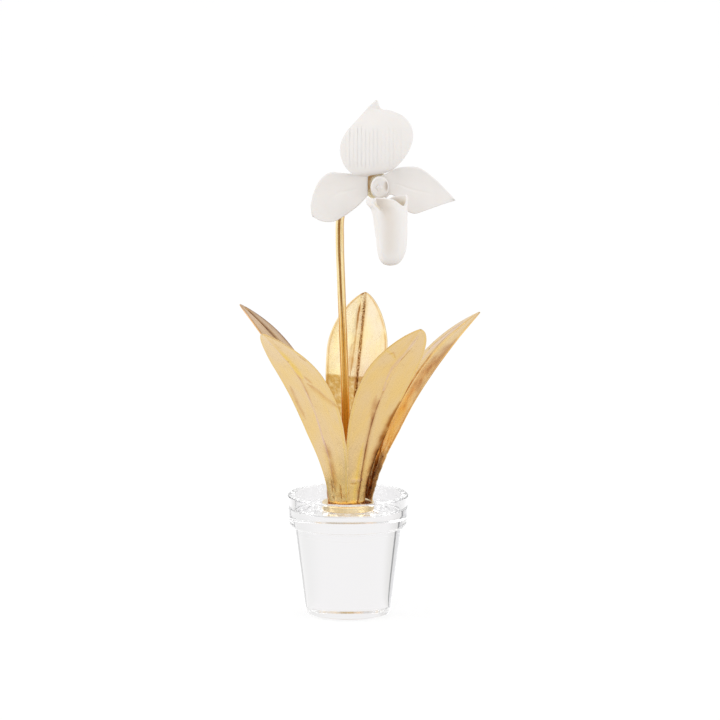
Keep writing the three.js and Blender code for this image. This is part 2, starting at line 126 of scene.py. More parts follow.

# Angles in degrees, each pair at the leaf's base and at its tip. bend is how late the lean comes, curl
# the curve across the blade, and reach the foot's distance from the pot's axis. whole is the tint of the
# whole leaf, in_rib that of its midrib's groove, and rim that of a line just inside its edge. Each of the
# marks is (tint, half width, pressed depth away from the stem, points of a line), every point as its
# share of the length and its distance from the midrib; some of the tints are painted highlights,
# reflections and shade, noted by each. Where a leaf has them, rib_depth is its own depth of midrib,
# knurled says that the midrib is beaded, dark_reflection_below is the share of the length up to which
# the leaf is darker, a painted reflection, and crumple takes the place of FOOT_CRUMPLE.
LEAVES = (
    dict(
        name="leaf_front_left",
        azimuth=(240.5, 224.5),
        lean=(11.5, 54.8),
        bend=1.22,
        length=139.5,
        fold=3.2,
        curl=-0.002,
        roll=(-2.2, -2.4),
        reach=13,
        marks=(
            # Painted highlight along the pressed midrib's ridge, and painted shade just beside it.
            (PALE, 0.9, 0.1, (0.93, -3.6), (0.81, -3.3), (0.68, -0.8), (0.51, -1.3), (0.33, -2.2),
             (0.14, -0.7)),
            (SOFT, 0.6, 0.0, (0.93, -2.4), (0.81, -2.2), (0.68, 0.3), (0.51, -0.2)),
            (GOLDEN, 2.2, 0.25, (0.94, -1.9), (0.86, -0.8), (0.77, 1.6), (0.68, 2.2)),
            (SOFT, 1.2, 0.2, (0.69, 4.6), (0.65, 8.0)),
            (SOFT, 2.2, -0.5, (0.64, 3.4), (0.60, 9.0), (0.565, 12.5), (0.52, 20.0)),
            (SOFT, 1.6, -0.2, (0.60, -15.0), (0.50, -15.6), (0.42, -13.0)),
            (BROWN, 0.7, -0.2, (0.795, -0.6), (0.793, 0.8)),
            (BROWN, 0.8, 0.0, (0.85, 15.0), (0.81, 17.6)),
            (TAN, 2.2, -0.5, (0.32, -1.2), (0.22, -0.1), (0.06, -0.4)),
            (BROWN, 0.7, -0.4, (0.12, -3.2), (0.05, -3.0)),
            (BROWN, 0.7, -0.4, (0.10, 3.4), (0.02, 3.2)),
            (BROWN, 0.6, -0.3, (0.09, -4.2), (0.072, -0.6)),
            (BROWN, 0.6, -0.2, (0.03, -4.0), (0.028, -1.6)),
            (BRIGHT, 7.0, 0.0, (0.14, -0.5), (-0.05, 0.0)),
        ),
    ),
    dict(
        name="leaf_front_right",
        azimuth=(301.5, 309),
        lean=(3, 48.6),
        bend=0.79,
        length=138.8,
        fold=3.4,
        curl=-0.003,
        roll=(1, 0.6),
        reach=11.2,
        whole=(0.96, 0.93, 0.86),
        marks=(
            # Painted highlights along the pressed midrib's ridge, with a painted shade line beside the upper
            # one.
            (PALE, 1.2, 0.3, (0.945, 2.9), (0.87, 2.4), (0.80, -0.1), (0.73, -2.1), (0.66, -1.4)),
            (PALE, 0.7, 0.1, (0.65, -1.2), (0.59, -0.2)),
            (BROWN, 0.5, -0.1, (0.853, 5.2), (0.80, 3.2), (0.752, 0.4)),
            (GOLDEN, 1.0, 0.2, (0.86, -15.0), (0.828, -8.3), (0.79, -3.0)),
            (SOFT, 0.6, -0.2, (0.83, -12.2), (0.84, -8.3), (0.80, -4.0)),
            # Painted soft shade beside the pressed crease.
            (SOFT, 2.0, 0.0, (0.56, -3.6), (0.43, -0.7)),
            (TAN, 1.7, -0.5, (0.59, 0.0), (0.47, 0.5), (0.29, 1.2), (0.19, 1.8), (0.10, 1.0), (-0.05, 0.0)),
            (DARK, 0.9, 0.0, (0.53, 0.2), (0.39, 0.5), (0.29, 1.2), (0.19, 1.8), (0.10, 1.0), (-0.05, 0.0)),
            (GOLDEN, 1.2, 0.2, (0.30, -1.8), (0.17, -2.2), (-0.05, -3.0)),
            # Painted shade along the right edge, deepening towards the foot.
            (TAN, 2.4, 0.0, (0.50, 18.6), (0.40, 15.4), (0.30, 12.0), (0.20, 8.8), (0.10, 7.0), (-0.05, 5.6)),
            (BROWN, 2.2, 0.0, (0.50, 19.6), (0.40, 16.4), (0.30, 13.2), (0.20, 10.4), (0.10, 8.4),
             (-0.05, 7.2)),
            (DARKEST_BROWN, 1.7, 0.0, (0.34, 16.0), (0.20, 11.8), (0.10, 9.4), (-0.05, 7.6)),
            (PALE, 0.9, 0.5, (0.112, -6.4), (0.112, 3.4)),
            (BROWN, 0.5, -0.2, (0.098, -6.0), (0.096, -2.0)),
            (BRIGHT, 5.0, 0.0, (0.15, -4.0), (-0.05, -4.0)),
        ),
    ),
    dict(
        name="leaf_right",
        azimuth=(17, 10),
        lean=(11.5, 57.8),
        bend=1.3,
        length=141.8,
        fold=0.2,
        curl=-0.004,
        roll=(14, -4),
        reach=13.5,
        whole=(1.08, 1.08, 1.06),
        in_rib=BROWN,
        rim=SOFT,
        marks=(
            # Painted highlight in a thin line beside the dark crease.
            (CREAM, 0.7, -0.3, (0.92, -2.0), (0.75, -2.9), (0.65, -3.2), (0.50, -2.6), (0.38, -2.0),
             (0.26, -1.6)),
            (PALE, 3.0, 0.0, (0.93, 4.0), (0.80, 9.0), (0.68, 10.0)),
            (SOFT, 0.6, 0.2, (0.92, 5.0), (0.80, 12.0), (0.72, 15.0)),
            (BROWN, 0.9, 0.0, (0.90, 4.8), (0.77, 3.5), (0.68, 1.6), (0.58, 1.0), (0.42, 0.9), (0.17, 0.5)),
            (TAN, 8.0, 0.0, (0.82, -17.5), (0.66, -13.5), (0.56, -11.0), (0.46, -9.0)),
            (SOFT, 7.0, 0.0, (0.74, -16.0), (0.62, -12.0), (0.52, -10.0)),
            (AMBER, 9.0, 0.0, (0.53, -10.0), (0.39, -9.0), (0.30, -7.0), (0.24, -6.0)),
            (DARKEST_BROWN, 10.0, 0.0, (0.205, -6.0), (0.16, -4.0), (0.10, -1.0), (0.05, 1.0), (-0.10, 3.0)),
        ),
        crumple=(0.22, 0.34),
    ),
    dict(
        name="leaf_back",
        azimuth=(87, 74.5),
        lean=(29.8, 22.3),
        bend=1.12,
        length=136.5,
        fold=17.4,
        curl=0,
        roll=(4, -6.4),
        reach=12.5,
        whole=(1.02, 1.18, 1.60),
        in_rib=TAN,
        rib_depth=0.4,
        knurled=True,
        rim=UMBER,
        dark_reflection_below=0.585,
        marks=(
            (BROWN, 1.1, 0.3, (0.97, 2.4), (0.89, 3.4), (0.74, 3.7), (0.665, 4.1), (0.58, 4.8)),
            (BROWN, 0.8, 0.0, (0.95, 2.6), (0.89, 3.4), (0.80, 3.6)),
            (SOFT, 1.4, 0.0, (0.74, 5.6), (0.66, 6.0), (0.58, 6.6)),
            (TAN, 2.0, 0.0, (1.02, -0.9), (0.77, -0.2), (0.66, 0.3), (0.50, 0.9)),
            (DARK, 0.9, 0.0, (0.992, 1.4), (0.985, 3.4)),
            # Painted lighter reflection over part of one half, towards the tip.
            (CLEAR, 9.0, 0.0, (1.02, 8.0), (0.85, 10.0), (0.60, 13.0)),
        ),
    ),
    dict(
        name="leaf_back_left",
        azimuth=(159.7, 160.7),
        lean=(2, 55),
        bend=1.17,
        length=140.8,
        fold=0.2,
        curl=0,
        roll=(0.5, 8.8),
        reach=12.4,
        whole=(0.98, 0.88, 0.90),
        in_rib=SOFT,
        rim=BROWN,
        marks=(
            (DARK, 1.8, 0.5, (0.98, -3.4), (0.91, -1.2), (0.86, -1.4), (0.81, -2.6), (0.68, -5.6)),
            (DARK, 1.0, 0.0, (0.95, -2.4), (0.91, -1.2), (0.86, -1.4), (0.81, -2.6), (0.68, -5.6)),
            (DARK, 0.8, 0.0, (0.96, -7.0), (0.935, -9.9), (0.888, -14.0), (0.829, -17.5), (0.72, -20.6)),
            (BROWN, 2.2, 0.0, (0.99, -4.0), (0.935, -10.4), (0.888, -14.6), (0.829, -18.4), (0.72, -20.0)),
            (GOLDEN, 1.6, 0.0, (0.95, -0.2), (0.86, 1.8), (0.78, 0.6)),
            (CREAM, 6.0, 0.0, (0.95, 9.0), (0.86, 11.0), (0.78, 11.0)),
        ),
    ),
)

# The bloom, in its own frame: origin on the front of the calyx plate, +x to the right of someone
# facing the bloom, +z up and -y towards them.
BLOOM_AT = np.array([18.7, -15.5, 273.6])
PETAL_THICKNESS = 1.3
CLAY_SHADE = (0.75, 0.68, 0.59)  # tint of the clay where shade has settled
CLAY_SHADED_INSIDE = (0.97, 0.90, 0.74)  # painted warm shade of the slipper's inside

# The sepal and the petals are sheets between two edges, each edge a curve from the base to the tip.
# bulge is how far the middle stands forward, and length what the clay's grain runs over.
DORSAL_SEPAL = dict(
    left=(
        (-4.0, -0.5, 7.8),
        (-8.5, -3.2, 7.4),
        (-15.0, -5.2, 8.2),
        (-20.4, -5.4, 13.2),
        (-23.2, -5.0, 20.0),
        (-23.1, -4.8, 27.6),
        (-19.4, -4.8, 34.8),
        (-14.0, -5.0, 41.0),
        (-8.4, -5.6, 47.4),
        (-4.6, -6.4, 51.8),
        (-1.7, -6.8, 54.2),
    ),
    right=(
        (3.0, -0.5, 8.6),
        (5.8, -2.8, 9.8),
        (10.0, -4.9, 12.0),
        (15.0, -5.2, 16.8),
        (19.5, -5.0, 23.8),
        (21.7, -4.8, 31.8),
        (20.2, -4.8, 38.8),
        (15.3, -5.0, 44.4),
        (8.6, -5.4, 47.5),
        (2.0, -6.0, 49.0),
        (-0.3, -6.8, 54.2),
    ),
    bulge=4.2,
    length=50,
    rows=120,
    columns=260,
)
LEFT_PETAL = dict(
    left=(
        (-6.3, -1.3, -5.6),
        (-12.4, -2.0, -11.9),
        (-21.0, -3.0, -18.2),
        (-27.4, -4.0, -21.3),
        (-34.6, -5.4, -21.0),
        (-40.2, -6.6, -18.2),
    ),
    right=(
        (-6.3, -1.3, 6.7),
        (-10.6, -1.6, 7.9),
        (-16.1, -2.2, 8.2),
        (-23.0, -3.2, 8.9),
        (-29.4, -4.2, 9.4),
        (-35.2, -5.4, 5.8),
        (-39.6, -6.4, -2.2),
        (-41.7, -6.8, -11.0),
        (-41.2, -6.8, -16.6),
    ),
    bulge=-2.2,
    length=36,
    rows=90,
    columns=60,
)
RIGHT_PETAL = dict(
    left=(
        (0.6, -1.4, 6.6),
        (4.4, -1.6, 7.9),
        (8.8, -1.9, 10.4),
        (13.6, -2.5, 12.2),
        (20.2, -2.9, 12.8),
        (26.0, -2.8, 11.8),
        (35.9, -2.2, 4.5),
        (43.3, -1.2, -3.0),
        (47.6, -0.6, -7.9),
    ),
    right=(
        (4.4, -1.3, -7.2),
        (6.0, -1.3, -6.5),
        (6.7, -1.4, -5.2),
        (8.7, -1.5, -5.0),
        (13.0, -1.7, -8.6),
        (17.2, -1.9, -14.4),
        (22.4, -2.0, -16.8),
        (30.9, -1.8, -14.3),
        (41.5, -1.0, -10.6),
        (47.6, -0.6, -8.9),
    ),
    bulge=-1.6,
    length=43,
    rows=90,
    columns=60,
)
BULGE_SHORT = 1.1  # how much sooner than the tip the bulge ends
# Fine lines cut straight up the sepal, pitch apart, with one of them at first. Each has its own share of
# the depth, down to faintest, as shuffle deals them out. They set in and die away between the places
# given, across and up the sepal, thinned says how much fainter they grow over thinning, and the deepest
# start and end higher, by foot_spread and top_spread.
SEPAL_LINES = dict(
    pitch=2.45,
    first=-10.2,
    half_width=0.24,
    depth=0.3,
    faintest=0.3,
    shuffle=(2.3, 1.4),
    left=(-22, -15),
    thinning=(-8, 6),
    thinned=0.6,
    right=(12, 18),
    foot=(9, 15),
    foot_spread=3,
    top=(28, 39),
    top_spread=8,
    plain_edge=0.1,
)
# The petals' soft ripples, with place where they are looked up in the noise, and the fine vein up the
# middle of each petal.
PETAL_RIPPLE = dict(depth=0.35, scale=0.07, place=40, start=(0.1, 0.3))
PETAL_VEIN = dict(depth=0.18, half_width=0.05, start=(0.1, 0.3), end=(0.5, 0.75))

# The slipper: rings from the mouth down to the toe, each (centre x, y, z, half width, half depth, depth
# of the fold down its front, degrees where that fold starts). Degrees go from the front by the right.
# The rim of the mouth is (degrees, height), and rim_share is how much the first rings follow it. The
# hollow ends where it would be narrower than least_inside.
POUCH = dict(
    rings=(
        (5.4, -13.0, -7.0, 13.1, 7.4, 5.2, -38),
        (5.5, -13.2, -9.6, 12.7, 7.9, 4.8, -36),
        (6.8, -13.6, -12.2, 11.4, 8.2, 4.0, -32),
        (7.5, -14.2, -17.0, 10.7, 8.5, 2.4, -28),
        (7.9, -15.0, -24.0, 10.2, 8.6, 1.5, -28),
        (8.4, -15.8, -31.0, 9.6, 8.4, 1.2, -30),
        (8.4, -16.6, -37.5, 8.9, 7.8, 0.8, -32),
        (8.0, -17.2, -42.6, 7.3, 6.6, 0.3, -34),
        (7.7, -17.6, -45.8, 4.6, 4.2, 0.0, -34),
        (7.6, -17.7, -47.0, 0.0, 0.0, 0.0, -34),
    ),
    rim=(
        (0, -6.0),
        (20, -6.6),
        (55, -10.6),
        (76, -8.0),
        (98, -4.8),
        (135, -5.2),
        (160, -6.0),
        (178, -8.0),
        (200, -8.4),
        (230, -7.2),
        (275, -5.8),
        (320, -5.8),
        (360, -6.0),
    ),
    rim_share=(1, 0.45, 0.1),
    wall=1.4,
    least_inside=0.6,
    sides=180,
    rows=90,
    rim_steps=400,
)
# The heel that reaches back to the calyx: at and spread in degrees, and share how much of its reach the
# first rings have.
HEEL = dict(at=196, spread=16, reach=5.7, share=(1, 0.5))
# The fold down the slipper's front. width is in degrees, and the rest but slack_depth are shares of it:
# where its left side goes in, steep near the mouth and slack from slack_depth down, and where its right
# side comes easily back out.
FRONT_FOLD = dict(width=62, steep=(-0.08, 0.14), slack=(-0.35, 0.3), slack_depth=(10, 20), easy=(0.3, 1.1))
FOLD_SHADE = dict(least=0.34, by_depth=0.07, turned=2)  # shade that has settled in that fold
WARM_BELOW = (0, 4)  # depths in the slipper over which its clay turns to the painted warm shade of its inside

# The column: a neck and, in front of it, a shield set off to one side and tilted.
COLUMN = dict(
    neck_radius=1.9,
    neck_length=4.4,
    neck_rings=7,
    face_rings=39,
    bend=(2.3, 4.0),
    shield_half_width=5.6,
    shield_stretch=1.25,
    shield_at=(1.0, 0.2),
    thickness=1.6,
    tilt=16,
    sides=128,
)
# The shield's relief, as heights and depths: a lip raised on its left, a dished middle with an arrow
# mark and a small lozenge, and a deep pit open to the right. The lip's and the dish's places are shares
# of the shield's half width, and the other places and sizes are in mm.
SHIELD_LIP = dict(height=0.4, at=0.84, half_width=0.1, fades=(-1.5, 2.5))
SHIELD_DISH = dict(depth=0.4, slope=(0.1, 0.85))
SHIELD_ARROW = dict(depth=0.35, tip=-2.6, slant=0.75, half_width=0.38, half_height=2.6, soft=0.4)
SHIELD_LOZENGE = dict(height=0.5, at=0.6, half_width=1.3, half_height=2.4)
SHIELD_PIT = dict(depth=0.9, at=(4.1, 0.5), half_width=1.5, half_height=3.1)
SHIELD_LOW = 0.2  # how far the arrow and the lozenge sit below the shield's middle
ARROW_SHADE, PIT_SHADE = 0.45, 0.7  # how much shade has settled in each
# The plate behind the bloom, with a socket for the stem. Its finish is dull on its front face, and turns
# bright over the distances back from there that dull_face gives.
CALYX = dict(
    centre=(-0.6, 0.4),
    radius=8.4,
    thickness=1.5,
    edge_round=0.4,
    fillet=0.8,
    socket_radius=4.4,
    socket_length=6.5,
    sides=96,
    dull_face=(0.1, 0.5),
)

# ------------------------------------------------------------------ finishes

# The gold leaf's streaks, wrinkles and patches of tone, with stretch their shape across, through and
# along the metal, and scale how many there are to a mm.
STREAKS = dict(stretch=(1.4, 1.4, 0.035), scale=1.0, detail=5.0, roughness=0.6)
WRINKLES = dict(stretch=(1, 1, 0.7), scale=0.55, detail=6.0, roughness=0.62)
PATCHES = dict(stretch=(1, 1, 0.45), scale=0.075)
TONE_RANGE = (0.36, 0.64)  # from the one gold tone to the other
SATIN_RANGE = (0.3, 0.7)  # from burnished to matt
PATCH_SHARE = 0.8  # how much of the tone the patches make up, and the streaks the rest
# Its hairline cracks and pits: where is the range of a broad noise over which they set in.
CRACKS = dict(scale=0.42, bend_scale=0.5, bend=1.6, width=0.035, strength=0.55, where=(0.48, 0.62))
PITS = dict(scale=0.55, edge=(0.10, 0.17), where=(0.52, 0.66))
WORN_DEPTH = 0.6  # how deep they lie, as a share of the relief
WORN_BRASS = (0.42, 0.22, 0.07)  # the brass that they bare
WRINKLED = 0.2  # how deep the wrinkles are, as a share of the relief
GILT_RELIEF = 5e-5  # in metres

# The clay's two tones, its polish, its relief, and how far light goes into it.
BISQUE = dict(warm=(0.835, 0.803, 0.777), pale=(0.86, 0.833, 0.812), roughness=0.72, specular=0.3)
BISQUE_RELIEF = 2e-5  # in metres
BISQUE_DEEP = dict(share=0.15, radius=(0.002, 0.0016, 0.0012))

# ------------------------------------------------------------------ studio

# How bright each part of the studio is, as red, green and blue.
WALL = (0.97, 0.97, 0.97)
BACKDROP = (1.03, 1.03, 1.03)
IN_GLASS = (1.3, 1.3, 1.3)
BACK_LEFT = (0.86, 0.84, 0.80)
BACK_RIGHT = (0.60, 0.60, 0.60)
ROOM_TOP = (0.98, 0.90, 0.76)
PANEL = (1.28, 1.28, 1.28)
DARK_ROOM = (0.30, 0.17, 0.08)
SOFT_FRONT = (0.78, 0.78, 0.78)
SOFT_LEFT = (1.24, 1.24, 1.24)
SOFT_RIGHT = (0.96, 0.96, 0.96)
SOFT_TOP = (0.79, 0.79, 0.79)
SEEN_THROUGH = (0.87, 0.86, 0.865)
SEEN_AT_LEFT = (0.72, 0.71, 0.70)
SEEN_AT_RIGHT = (0.81, 0.805, 0.805)
SEEN_ON_SIDE = (0.55, 0.55, 0.57)
FLAG = (0.1, 0.1, 0.11)

# Where each part stands: from, to, and how softly it begins and ends. Sides are in degrees of azimuth,
# and heights are the sine of the elevation. dark is the share of FLAG in each of the two flags.
GREYER_LEFT = (-141, 0, 11)
GREYER_RIGHT = (0, 150, 14)
SIDE_WALL = (-122, -92, 1.5)
BACKDROP_RISE = (0.15, 2.0, 0.02)
FRONT_SIDE = (-115, 115, 8)
PANEL_SIDE = (-100, 60, 6)
PANEL_RISE = (0.30, 0.82, 0.015)
DARK_SIDE = (-56, 20, 5)
DARK_RISE = (-2.0, 0.26, 0.05)
FLAG_RISE = (-1.0, 0.2, 0.04)
FLAGS = (dict(side=(-129.5, -124, 1.2), dark=0.95), dict(side=(106, 118, 2.5), dark=0.6))

# Where one part gives way to the next, along x or z of the direction looked in.
CEILING = (0.805, 0.835)
BACK_TURNS = (-0.1, 0.1)
SOFT_LEFT_ENDS = (-0.9, -0.1)
SOFT_RIGHT_STARTS = (0.1, 0.9)
SOFT_TOP_STARTS = (0.3, 0.9)

# The floor, in metres: dark_from is how far out in front it gives way to the dark room, rise how high it
# counts as standing among the studio's parts, and matt the share of it that takes shadows.
FLOOR = dict(radius=8.0, sides=96, height=-0.0002, dark_from=(0.4, 0.75), rise=-0.2, matt=0.2)
FLOOR_MIRRORED = (0.97, 0.97, 0.97)
FLOOR_MATT = (0.95, 0.95, 0.95, 1)
FLOOR_GLOW = 1.02

# Two soft lights and the camera, in metres, degrees and, for the lens and the sensor, mm.
SOFTBOXES = dict(softbox_left=(-1.7, -0.5, 0.9), softbox_right=(1.6, -0.9, 0.8))
SOFTBOX = dict(width=0.9, height=1.3, power=9, aim=(0, 0, 0.18))
CAMERA = dict(at=(0.00758, -2.4, 0.5645), down=9.52, lens=193.65, sensor=36)
TURNS_IN_GLASS = 24  # light turns many corners inside a solid glass casting
TURNS_OFF_MATT = 8  # and fewer between unpolished surfaces

# ------------------------------------------------------------------ small maths


def unit(vectors):
    length = np.linalg.norm(vectors, axis=-1, keepdims=True)
    return vectors / np.maximum(length, 1e-12)


def lerp(pair, share):
    return pair[0] + (pair[1] - pair[0]) * share


def smooth_step(x, start, end):
    t = np.clip((x - start) / (end - start), 0, 1)
    return t * t * (3 - 2 * t)


def soft_noise(points, scale, octaves=3):
    """Smooth noise from about -1 to 1 at points of any shape, its largest lumps 1 / scale across."""
    flat = np.reshape(points, (-1, 3)) * scale
    falloff, finer = 0.9, 2.1
    values = [noise.fractal(Vector(p), falloff, finer, octaves) for p in flat]
    return np.reshape(values, np.shape(points)[:-1])


def worked(points, depth, scale, stretch, octaves):
    """Relief of a depth in mm, its lumps stretched across, through and along the piece."""
    return depth * soft_noise(points * np.array(stretch), scale, octaves)


def patchy(points, scale, mean):
    """Shares up to 1 that wander about mean in patches 1 / scale across."""
    return np.clip(mean + 0.5 * soft_noise(points, scale), 0, 1)


def hump(distance, half_width):
    """1 at no distance, falling away smoothly over half_width."""
    return np.exp(-((distance / half_width) ** 2))


def spline(points, shares):
    """Centripetal Catmull-Rom curve through points, at shares of its length."""
    p = np.asarray(points, float)
    p = np.concatenate([[2 * p[0] - p[1]], p, [2 * p[-1] - p[-2]]])
    pieces = []
    t = np.linspace(0, 1, SPLINE_STEPS, endpoint=False)[:, None]
    for p0, p1, p2, p3 in zip(p, p[1:], p[2:], p[3:]):
        k0, k1, k2 = (np.linalg.norm(b - a) ** 0.5 for a, b in ((p0, p1), (p1, p2), (p2, p3)))
        m1 = ((p1 - p0) / k0 - (p2 - p0) / (k0 + k1) + (p2 - p1) / k1) * k1
        m2 = ((p2 - p1) / k1 - (p3 - p1) / (k1 + k2) + (p3 - p2) / k2) * k1
        curve = p1 + m1 * t + (3 * (p2 - p1) - 2 * m1 - m2) * t**2 + (m1 + m2 - 2 * (p2 - p1)) * t**3
        pieces.append(curve)
    line = np.concatenate([*pieces, [p[-2]]])
    along = np.concatenate([[0], np.cumsum(np.linalg.norm(np.diff(line, axis=0), axis=1))])
    wanted = np.asarray(shares) * along[-1]
    return np.stack([np.interp(wanted, along, line[:, i]) for i in range(line.shape[1])], -1)


def arc(centre_r, centre_z, radius, start, end, steps):
    """Points of a profile's arc in a plane of (radius, height), angles in degrees."""
    a = np.radians(np.linspace(start, end, steps + 1))
    return np.stack([centre_r + radius * np.cos(a), centre_z + radius * np.sin(a)], -1)


def with_flats(profile, corner=0.12, long=1.5):
    """A profile with a point close to both ends of each long straight, so that the straight shades flat."""
    made = [profile[0]]
    for a, b in zip(profile, profile[1:]):
        run = np.linalg.norm(b - a)
        if run > long:
            made += [a + (b - a) * corner / run, b - (b - a) * corner / run]
        made.append(b)
    return np.array(made)


def tinted(amount, colour):
    """A tint for each point: none where amount is 0, and colour where it is 1."""
    return 1 + (np.array(colour) - 1) * np.asarray(amount)[..., None]


def stations_to(rows):
    """Stations along a blade, closer together towards its tip."""
    return 1 - (1 - np.linspace(0, 1, rows + 1)) ** CLOSER_AT_TIP


# ------------------------------------------------------------------ mesh making


def piece(name, points, faces, grain=None, tint=None):
    """A smooth object from points in mm. grain runs along the metal's or the clay's working direction,
    in mm, and tint multiplies the finish's own colour."""
    mesh = bpy.data.meshes.new(name)
    mesh.from_pydata((np.asarray(points) * MM).tolist(), [], faces)
    values = mesh.attributes.new("grain", "FLOAT_VECTOR", "POINT")
    values.data.foreach_set("vector", np.asarray(points if grain is None else grain, np.float32).ravel())
    values = mesh.attributes.new("tint", "FLOAT_VECTOR", "POINT")
    tint = np.ones((len(points), 3)) if tint is None else np.reshape(tint, (-1, 3))
    values.data.foreach_set("vector", tint.astype(np.float32).ravel())
    mesh.polygons.foreach_set("use_smooth", [True] * len(mesh.polygons))
    work = bmesh.new()
    work.from_mesh(mesh)
    bmesh.ops.recalc_face_normals(work, faces=work.faces)
    work.to_mesh(mesh)
    work.free()
    made = bpy.data.objects.new(name, mesh)
    bpy.context.scene.collection.objects.link(made)
    return made


def skin_faces(rows, around, capped=True):
    """Quads between closed loops of points, row by row, with the first and last loops filled."""
    faces = []
    for i in range(rows - 1):
        a, b = i * around, (i + 1) * around
        for j in range(around):
            k = (j + 1) % around
            faces.append((a + j, a + k, b + k, b + j))
    if capped:
        faces.append(tuple(range(around)))
        faces.append(tuple(range((rows - 1) * around, rows * around)))
    return faces


def turned_faces(rows, sides):
    """Faces of a turned piece whose last two points are the poles at its foot and its top."""
    last, foot, top = (rows - 1) * sides, rows * sides, rows * sides + 1
    faces = skin_faces(rows, sides, capped=False)
    faces += [(foot, (j + 1) % sides, j) for j in range(sides)]
    faces += [(top, last + j, last + (j + 1) % sides) for j in range(sides)]
    return faces


def lathe(name, profile, sides, axis="z", at=(0, 0, 0), closed=False, tints=None):
    """Turns a profile of (radius, height) about +z, or about -y for axis "y". A closed profile is a ring's
    section, and an open one starts and ends on the axis. tints(heights) gives each point's tint."""
    a = np.linspace(0, 2 * math.pi, sides, endpoint=False)
    profile = with_flats(profile)
    open_rows = profile if closed else profile[1:-1]
    r, h = open_rows[:, :1], open_rows[:, 1:]
    loops = np.stack([r * np.cos(a), r * np.sin(a), h + 0 * a], -1)
    rows = len(open_rows)
    points = loops.reshape(-1, 3)
    if closed:
        last = (rows - 1) * sides
        faces = skin_faces(rows, sides, capped=False)
        faces += [(last + j, last + (j + 1) % sides, (j + 1) % sides, j) for j in range(sides)]
    else:
        points = np.concatenate([points, [[0, 0, profile[0][1]], [0, 0, profile[-1][1]]]])
        faces = turned_faces(rows, sides)
    tint = tints(points[:, 2]) if tints else None
    if axis == "y":
        points = np.stack([points[:, 0], -points[:, 2], points[:, 1]], -1)
    return piece(name, points + np.asarray(at), faces, grain=points, tint=tint)


def sheet(name, surface, stations, columns, half, along_mm, tints=None):
    """A closed sheet about surface(s, v), half its thickness to either side, with round edges. s runs
    from base to tip and v from -1 to 1 across, and its grain runs over along_mm. tints(s, v, middle) gives
    its front's and its back's tint."""
    s, v = np.meshgrid(stations, columns, indexing="ij")
    step = 1e-3
    middle = surface(s, v)
    along = surface(np.minimum(1, s + step), v) - surface(np.maximum(0, s - step), v)
    across = surface(s, np.minimum(1, v + step)) - surface(s, np.maximum(-1, v - step))
    normal = unit(np.cross(along, across))
    side = unit(across)
    middle = middle - side * (v * half)[..., None]
    rim = np.radians(np.linspace(0, 180, EDGE_STEPS + 1))[1:-1]
    right = [middle[:, -1:] + half * (side[:, -1:] * math.sin(a) + normal[:, -1:] * math.cos(a)) for a in rim]
    left = [middle[:, :1] - half * (side[:, :1] * math.sin(a) + normal[:, :1] * math.cos(a)) for a in rim]
    front = middle + normal * half
    back = (middle - normal * half)[:, ::-1]
    loops = np.concatenate([front, *right, back, *left], axis=1)
    width = np.linalg.norm(middle[:, -1] - middle[:, 0], axis=-1)[:, None] / 2

    def round_loop(of_front, of_back, at_right, at_left):
        right_edge, left_edge = [at_right] * len(rim), [at_left] * len(rim)
        return np.concatenate([of_front, *right_edge, of_back[:, ::-1], *left_edge], axis=1)

    x = round_loop(v * width, v * width, (v * width)[:, -1:], (v * width)[:, :1])
    y_at_edge = 0 * v[:, :1] + BACK_GRAIN / 2
    y = round_loop(0 * v, 0 * v + BACK_GRAIN, y_at_edge, y_at_edge)
    z = round_loop(s, s, s[:, -1:], s[:, :1]) * along_mm
    grain = np.stack([x, y, z], -1)
    tint = None
    if tints:
        front, back = tints(s, v, middle)
        tint = round_loop(front, back, front[:, -1:], front[:, :1])
    rows, around = loops.shape[:2]
    faces = skin_faces(rows, around)
    return piece(name, loops.reshape(-1, 3), faces, grain.reshape(-1, 3), tint)


# ------------------------------------------------------------------ pot, disc, stem and calyx

WELL_FLOOR = POT["height"] - POT["well_depth"]
DISC_FOOT = WELL_FLOOR + GAP
DISC_TOP = DISC_FOOT + DISC["thickness"]
BORE = STEM["radius"] + GAP  # radius of the holes that the stem stands in


def make_pot():
    p = POT
    rim_foot = p["height"] - p["rim_height"]
    foot, shoulder, lip, well = p["foot_round"], p["rim_foot_round"], p["lip_round"], p["well_round"]
    profile = np.concatenate(
        [
            [(0, 0)],
            arc(p["body_foot_radius"] - foot, foot, foot, -90, -5, 14),
            [(p["body_top_radius"], rim_foot)],
            arc(p["rim_foot_radius"] - shoulder, rim_foot + shoulder, shoulder, -75, -3, 14),
            arc(p["rim_radius"] - lip, p["height"] - lip, lip, 0, 90, 12),
            arc(p["well_radius"] + lip, p["height"] - lip, lip, 90, 180, 12),
            arc(p["well_radius"] - well, WELL_FLOOR + well, well, 0, -90, 10),
            [(0, WELL_FLOOR)],
        ]
    )
    return lathe("glass_flowerpot", profile, p["sides"])


def make_disc():
    # The disc is tinted paler all over: a painted highlight.
    def highlighted(height):
        return tinted(np.ones_like(height), DISC_HIGHLIGHT)

    radius, e = DISC["radius"], DISC["edge_round"]
    profile = np.concatenate(
        [
            [(BORE, DISC_FOOT)],
            arc(radius - e, DISC_FOOT + e, e, -90, 0, 6),
            arc(radius - e, DISC_TOP - e, e, 0, 90, 6),
            [(BORE, DISC_TOP)],
        ]
    )
    return lathe("gilt_base_disc", profile, DISC["sides"], closed=True, tints=highlighted)


